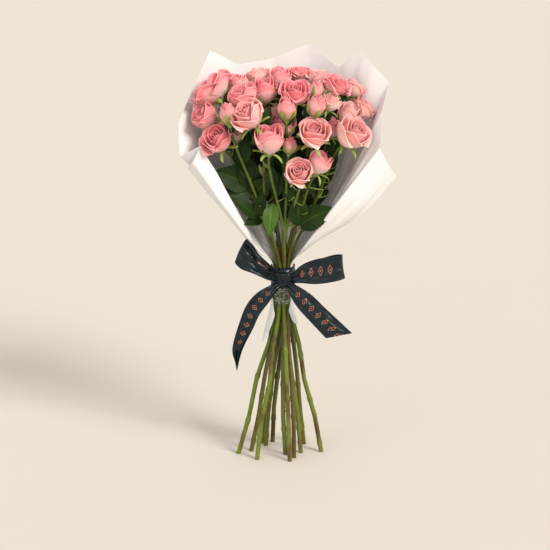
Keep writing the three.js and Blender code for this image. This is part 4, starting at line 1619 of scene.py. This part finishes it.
@dataclass
class RibbonRun:
    """One stretch of the satin ribbon.

    Attributes:
        node: the CAD node that it stands for.
        edges: pairs of edge points, from the knot outwards.
        printed: the stretch that carries the print, in millimetres from the knot.
        thickness: of the ribbon.
        width: of the flat ribbon, in metres.
        gathered: the width under which the ribbon starts to gather.
    """

    node: str
    edges: list[tuple[Point, Point]]
    printed: tuple[float, float]
    thickness: float = SATIN_THICKNESS
    width: float = SATIN_WIDTH
    gathered: float = 22.0

    def make(self) -> bpy.types.Object:
        """Builds the stretch in place of its CAD node.

        Returns:
            The stretch's object.
        """
        low, high = (curve_through([pair[k] for pair in self.edges], 12) for k in (0, 1))
        middle = (low + high) / 2
        run = np.concatenate([[0], np.cumsum(np.linalg.norm(np.diff(middle, axis=0), axis=1))])
        share = np.linspace(0, 1, 13)
        grid = low[:, None] + (high - low)[:, None] * share[None, :, None]
        normal = np.cross(np.gradient(grid, axis=1), np.gradient(grid, axis=0))
        normal /= np.linalg.norm(normal, axis=2, keepdims=True) + NO_ZERO
        width = np.linalg.norm(high - low, axis=1)
        pinch = np.clip(1 - width / self.gathered, 0, 1)
        gathers = np.sin(share * math.pi * 5)[None, :] * pinch[:, None] * 2.0
        cupped = (np.cos((share - 0.5) * math.pi) - 0.6)[None, :] * 0.8
        grid = grid + normal * (gathers + cupped)[..., None]
        length = run[:, None] * np.ones(len(share))
        printed = ((length > self.printed[0]) & (length < self.printed[1])).astype(float)
        mould = Mould()
        across = np.broadcast_to(share * 2 - 1, length.shape)
        mould.shell(grid, self.thickness, run=length, across=across, printed=printed)
        piece = mould.build(self.node.replace("ribbon", "satin"), [RIBBON])
        stand_for(piece, "ribbon", self.node)
        flat = (self.width, float(run[-1]) * MM)
        area = float(np.sum((width[1:] + width[:-1]) / 2 * np.diff(run))) * MM * MM
        area = min(area, flat[0] * flat[1])
        return piece


RUNS = [
    RibbonRun("ribbon_loop_left", [
        ((-6, -20, 211), (-7, -20, 221)), ((-19, -29, 218), (-18, -28, 229)),
        ((-36, -34, 227), (-30, -33, 239)), ((-48, -35, 232), (-38, -34, 249)),
        ((-55, -33, 239), (-45.5, -33, 261)), ((-52.5, -26.5, 241), (-41, -26.5, 265)),
        ((-43, -24, 239), (-35.5, -24, 259)), ((-32, -23, 232), (-29, -23, 248)),
        ((-20, -22, 224), (-18, -21, 236)), ((-8, -18, 216), (-8, -18, 226))], (86, 120)),
    RibbonRun("ribbon_loop_right", [
        ((9, -20, 211), (9, -20, 221)), ((22, -27, 213), (22, -27, 235)),
        ((36, -31, 213), (36, -31, 242)), ((52, -32, 215), (50, -32, 245)),
        ((67, -30, 218), (64, -30, 246)), ((70, -25, 219), (67, -25, 246)),
        ((62, -21, 218), (60, -21, 245)), ((46, -18, 215), (45, -18, 240)),
        ((28, -17, 214), (28, -17, 231)), ((12, -17, 214), (12, -17, 222))], (8, 54)),
    RibbonRun("ribbon_tail_left", [
        ((-7, -21, 213), (-4, -21, 206)), ((-17, -26, 209), (-10, -27, 199)),
        ((-29, -30, 203), (-17, -30, 190)), ((-41, -33, 190), (-27, -33, 177)),
        ((-50, -35, 168), (-34, -35, 162)), ((-58, -36, 136), (-47, -36, 135)),
        ((-55, -36, 122), (-53, -36, 111))], (12, 92)),
    RibbonRun("ribbon_tail_right", [
        ((8, -21, 213), (3, -21, 206)), ((19, -26, 208), (9, -26, 196)),
        ((31, -29, 201), (17, -30, 184)), ((48, -32, 185), (31, -33, 169)),
        ((79, -36, 156), (49, -36, 150))], (10, 92)),
]


@dataclass
class BandAndKnot:
    """The ribbon's turn round the paper, and the knot at its front.

    Attributes:
        radius: of the turn round the bunch.
        low, high: the turn's lower and upper edge.
        knot: the knot's middle.
        size: the knot's width, depth and height.
        shown: how much of the flat ribbon's width the turn shows, in metres; not used.
    """

    radius: float = 13.75
    low: float = 203.5
    high: float = 227.5
    knot: Point = (1, -17.6, 215)
    size: Point = (16.5, 9.0, 15.5)
    shown: float = 0.024

    def band(self, mould: Mould) -> None:
        """Adds the turn, with soft gathers that close in towards the knot.

        Args:
            mould: what collects it.
        """
        angles = np.linspace(-math.pi / 2 + 0.02, 1.5 * math.pi - 0.02, 97)
        share = np.linspace(0, 1, 17)
        a, s = np.meshgrid(angles, share)
        from_knot = np.minimum(np.abs(a + math.pi / 2), np.abs(a - 1.5 * math.pi))
        front = np.exp(-((from_knot / 0.7) ** 2))
        middle = (self.low + self.high) / 2
        z = middle + (s - 0.5) * (self.high - self.low) * (1 - 0.05 * front)
        r = self.radius + 0.35 * np.sin(s * math.pi * 6 + 0.7 * np.sin(a * 2)) * (0.5 + front)
        points = np.stack([r * np.cos(a), r * np.sin(a), z], axis=2)
        run = a * self.radius
        mould.shell(points, SATIN_THICKNESS, run=run, across=s * 2 - 1, printed=0.0)

    def wrap(self, mould: Mould) -> None:
        """Adds the knot: the ribbon folded over itself, with creases that run down and round.

        Args:
            mould: what collects it.
        """
        levels = np.linspace(-math.pi / 2, math.pi / 2, 33)
        lat, lon = np.meshgrid(levels, np.linspace(0, 2 * math.pi, 65)[:-1])
        crease = 0.1 * np.sin(7 * lon + 2.5 * np.sin(lat * 1.3)) + 0.08 * np.sin(11 * lon - 5 * lat)
        bulge = 1 + crease * np.cos(lat)
        w, d, h = (s / 2 for s in self.size)
        square = 1 / (np.abs(np.cos(lon)) ** 3.2 + np.abs(np.sin(lon)) ** 3.2) ** (1 / 3.2)
        waist = 0.84 + 0.16 * np.abs(np.sin(lat)) ** 1.5
        x = w * np.abs(np.cos(lat)) ** 0.42 * np.cos(lon) * bulge * square * waist
        thick = 1.04 - 0.1 * np.cos(2 * lat)
        y = d * np.abs(np.cos(lat)) ** 0.42 * np.sin(lon) * bulge * square * thick
        z = h * np.sign(np.sin(lat)) * np.abs(np.sin(lat)) ** 0.85 + 0.12 * x
        points = np.stack([x, y, z], axis=2) + np.array(self.knot)
        rings = points.transpose(1, 0, 2)
        values = {"run": 8 * lat.T, "across": np.sin(lon.T), "printed": 0.0 * lat.T}
        first = mould.take(rings, values)
        rows, around = rings.shape[:2]
        for j in range(rows - 1):
            for i in range(around):
                p, q = first + j * around + i, first + j * around + (i + 1) % around
                mould.faces.append((p, q, q + around, p + around))
        mould.slots += [0] * ((rows - 1) * around)

    def make(self) -> bpy.types.Object:
        """Builds the band and the knot in place of their CAD node.

        Returns:
            The knot's object.
        """
        mould = Mould()
        self.band(mould)
        piece = mould.build("satin_band", [RIBBON])
        stand_for(piece, "ribbon", "ribbon_band_and_knot")
        mould = Mould()
        self.wrap(mould)
        knot = mould.build("satin_knot", [RIBBON])
        stand_for(knot, "ribbon", "ribbon_band_and_knot")
        return knot


@dataclass
class BindingTape:
    """The clear film wound round the stems under the ribbon.

    Attributes:
        radius: of its inner turn.
        low: its lower edge.
        high: its upper edge.
        turns: how many times it goes round.
        growth: how much wider each turn is than the last.
        crinkle: how far it crinkles out and in.
        thickness: of the film.
    """

    radius: float = 11.0
    low: float = 184.0
    high: float = 201.0
    turns: int = 2
    growth: float = 0.16
    crinkle: float = 0.3
    thickness: float = 0.12

    def make(self) -> bpy.types.Object:
        """Builds the crinkled film in place of its CAD node.

        Returns:
            The film's object.
        """
        turn = 2 * math.pi
        a, s = np.meshgrid(np.linspace(0, self.turns * turn, 193), np.linspace(0, 1, 15))
        waves = np.vectorize(lambda p, q: noise.noise(Vector((p, q, 1.7))))(a * 3, s * 5)
        r = self.radius + self.growth * a / turn + self.crinkle * waves
        z = self.low + s * (self.high - self.low) + 1.2 * np.sin(a * 0.5)
        points = np.stack([r * np.cos(a), r * np.sin(a), z], axis=2)
        mould = Mould()
        mould.shell(points, self.thickness)
        piece = mould.build("clear_film_binding", [TAPE])
        stand_for(piece, "clear_tape", "binding_tape")
        return piece


# ---------------------------------------------------------------------------------------------
# Camera, light and floor
# ---------------------------------------------------------------------------------------------


@dataclass
class Studio:
    """The camera at the viewing angle, soft lights and a plain pale floor.

    Attributes:
        target: what the camera looks at.
        distance: how far off it stands.
        pitch: how far down it looks, in degrees.
        lens: in millimetres.
        sensor: the width of what the lens throws its picture on, in millimetres.
        room: the colour and the strength of the light from all round.
        half_floor: from the middle of the floor to its edge.
    """

    target: Point = (-9.2, 0.0, 215.2)
    distance: float = 2990.0
    pitch: float = 15.4
    lens: float = 170.2
    sensor: float = 36.0
    room: tuple[str, float] = ("#fbfaf9", 0.78)
    half_floor: float = 9000.0

    def camera(self) -> None:
        """Adds the camera and makes it the scene's."""
        data = bpy.data.cameras.new("camera")
        data.lens, data.sensor_width = self.lens, self.sensor
        data.clip_start, data.clip_end = 0.05, 50.0
        made = bpy.data.objects.new("camera", data)
        p = math.radians(self.pitch)
        back = np.array([0.0, -math.cos(p), math.sin(p)])
        made.location = in_row(np.array(self.target) + back * self.distance)
        made.rotation_euler = Vector(-back).to_track_quat("-Z", "Y").to_euler()
        bpy.context.scene.collection.objects.link(made)
        bpy.context.scene.camera = made

    def sun(
        self, name: str, towards: float, up: float, soft: float, power: float, colour: str
    ) -> None:
        """Adds one far, soft light.

        Args:
            name: the light's name.
            towards: where it comes from, in degrees, with 0 to the right and -90 in front.
            up: its height above the horizon, in degrees.
            soft: its width across the sky, in degrees.
            power: in watts per square metre.
            colour: its sRGB hex colour.
        """
        data = bpy.data.lights.new(name, "SUN")
        data.angle, data.energy = math.radians(soft), power
        data.color = linear(colour)[:3]
        made = bpy.data.objects.new(name, data)
        made.rotation_euler = Vector(axis_of(90 - up, towards)).to_track_quat("Z", "Y").to_euler()
        bpy.context.scene.collection.objects.link(made)

    def floor(self) -> None:
        """Adds the pale floor and the soft light of the room."""
        mesh = bpy.data.meshes.new("floor")
        half = self.half_floor
        corners = [(-half, -half, 0.0), (half, -half, 0.0), (half, half, 0.0), (-half, half, 0.0)]
        mesh.from_pydata(in_row(corners).tolist(), [], [(0, 1, 2, 3)])
        mesh.materials.append(FLOOR.material())
        made = bpy.data.objects.new("floor", mesh)
        bpy.context.scene.collection.objects.link(made)
        world = bpy.data.worlds.new("studio")
        bpy.context.scene.world = world
        world.use_nodes = True
        world.node_tree.nodes.clear()
        colour, strength = self.room
        sky = node(world.node_tree, "Background", {"Color": colour, "Strength": strength})
        node(world.node_tree, "OutputWorld", {"Surface": sky})

    def set_up(self) -> None:
        """Adds everything."""
        bpy.context.scene.view_settings.view_transform = "Standard"
        self.camera()
        self.floor()
        self.sun("key", -46, 36, 22, 2.95, "#fff8f0")
        self.sun("fill", -128, 24, 70, 0.8, "#fffefc")


def main() -> None:
    """Builds the bunch in order and reports each piece."""
    logging.basicConfig(level=logging.INFO, format="%(name)s %(message)s")
    Studio().set_up()
    BindingTape().make()
    BandAndKnot().make()
    for part in (*RUNS, *PAPERS, *LEAVES):
        part.make()
    press = Walls(PAPERS).hold
    for stem in STEMS:
        stem.make(press)
        for rose in stem.flowers():
            rose.make(press)


if __name__ == "__main__":
    main()
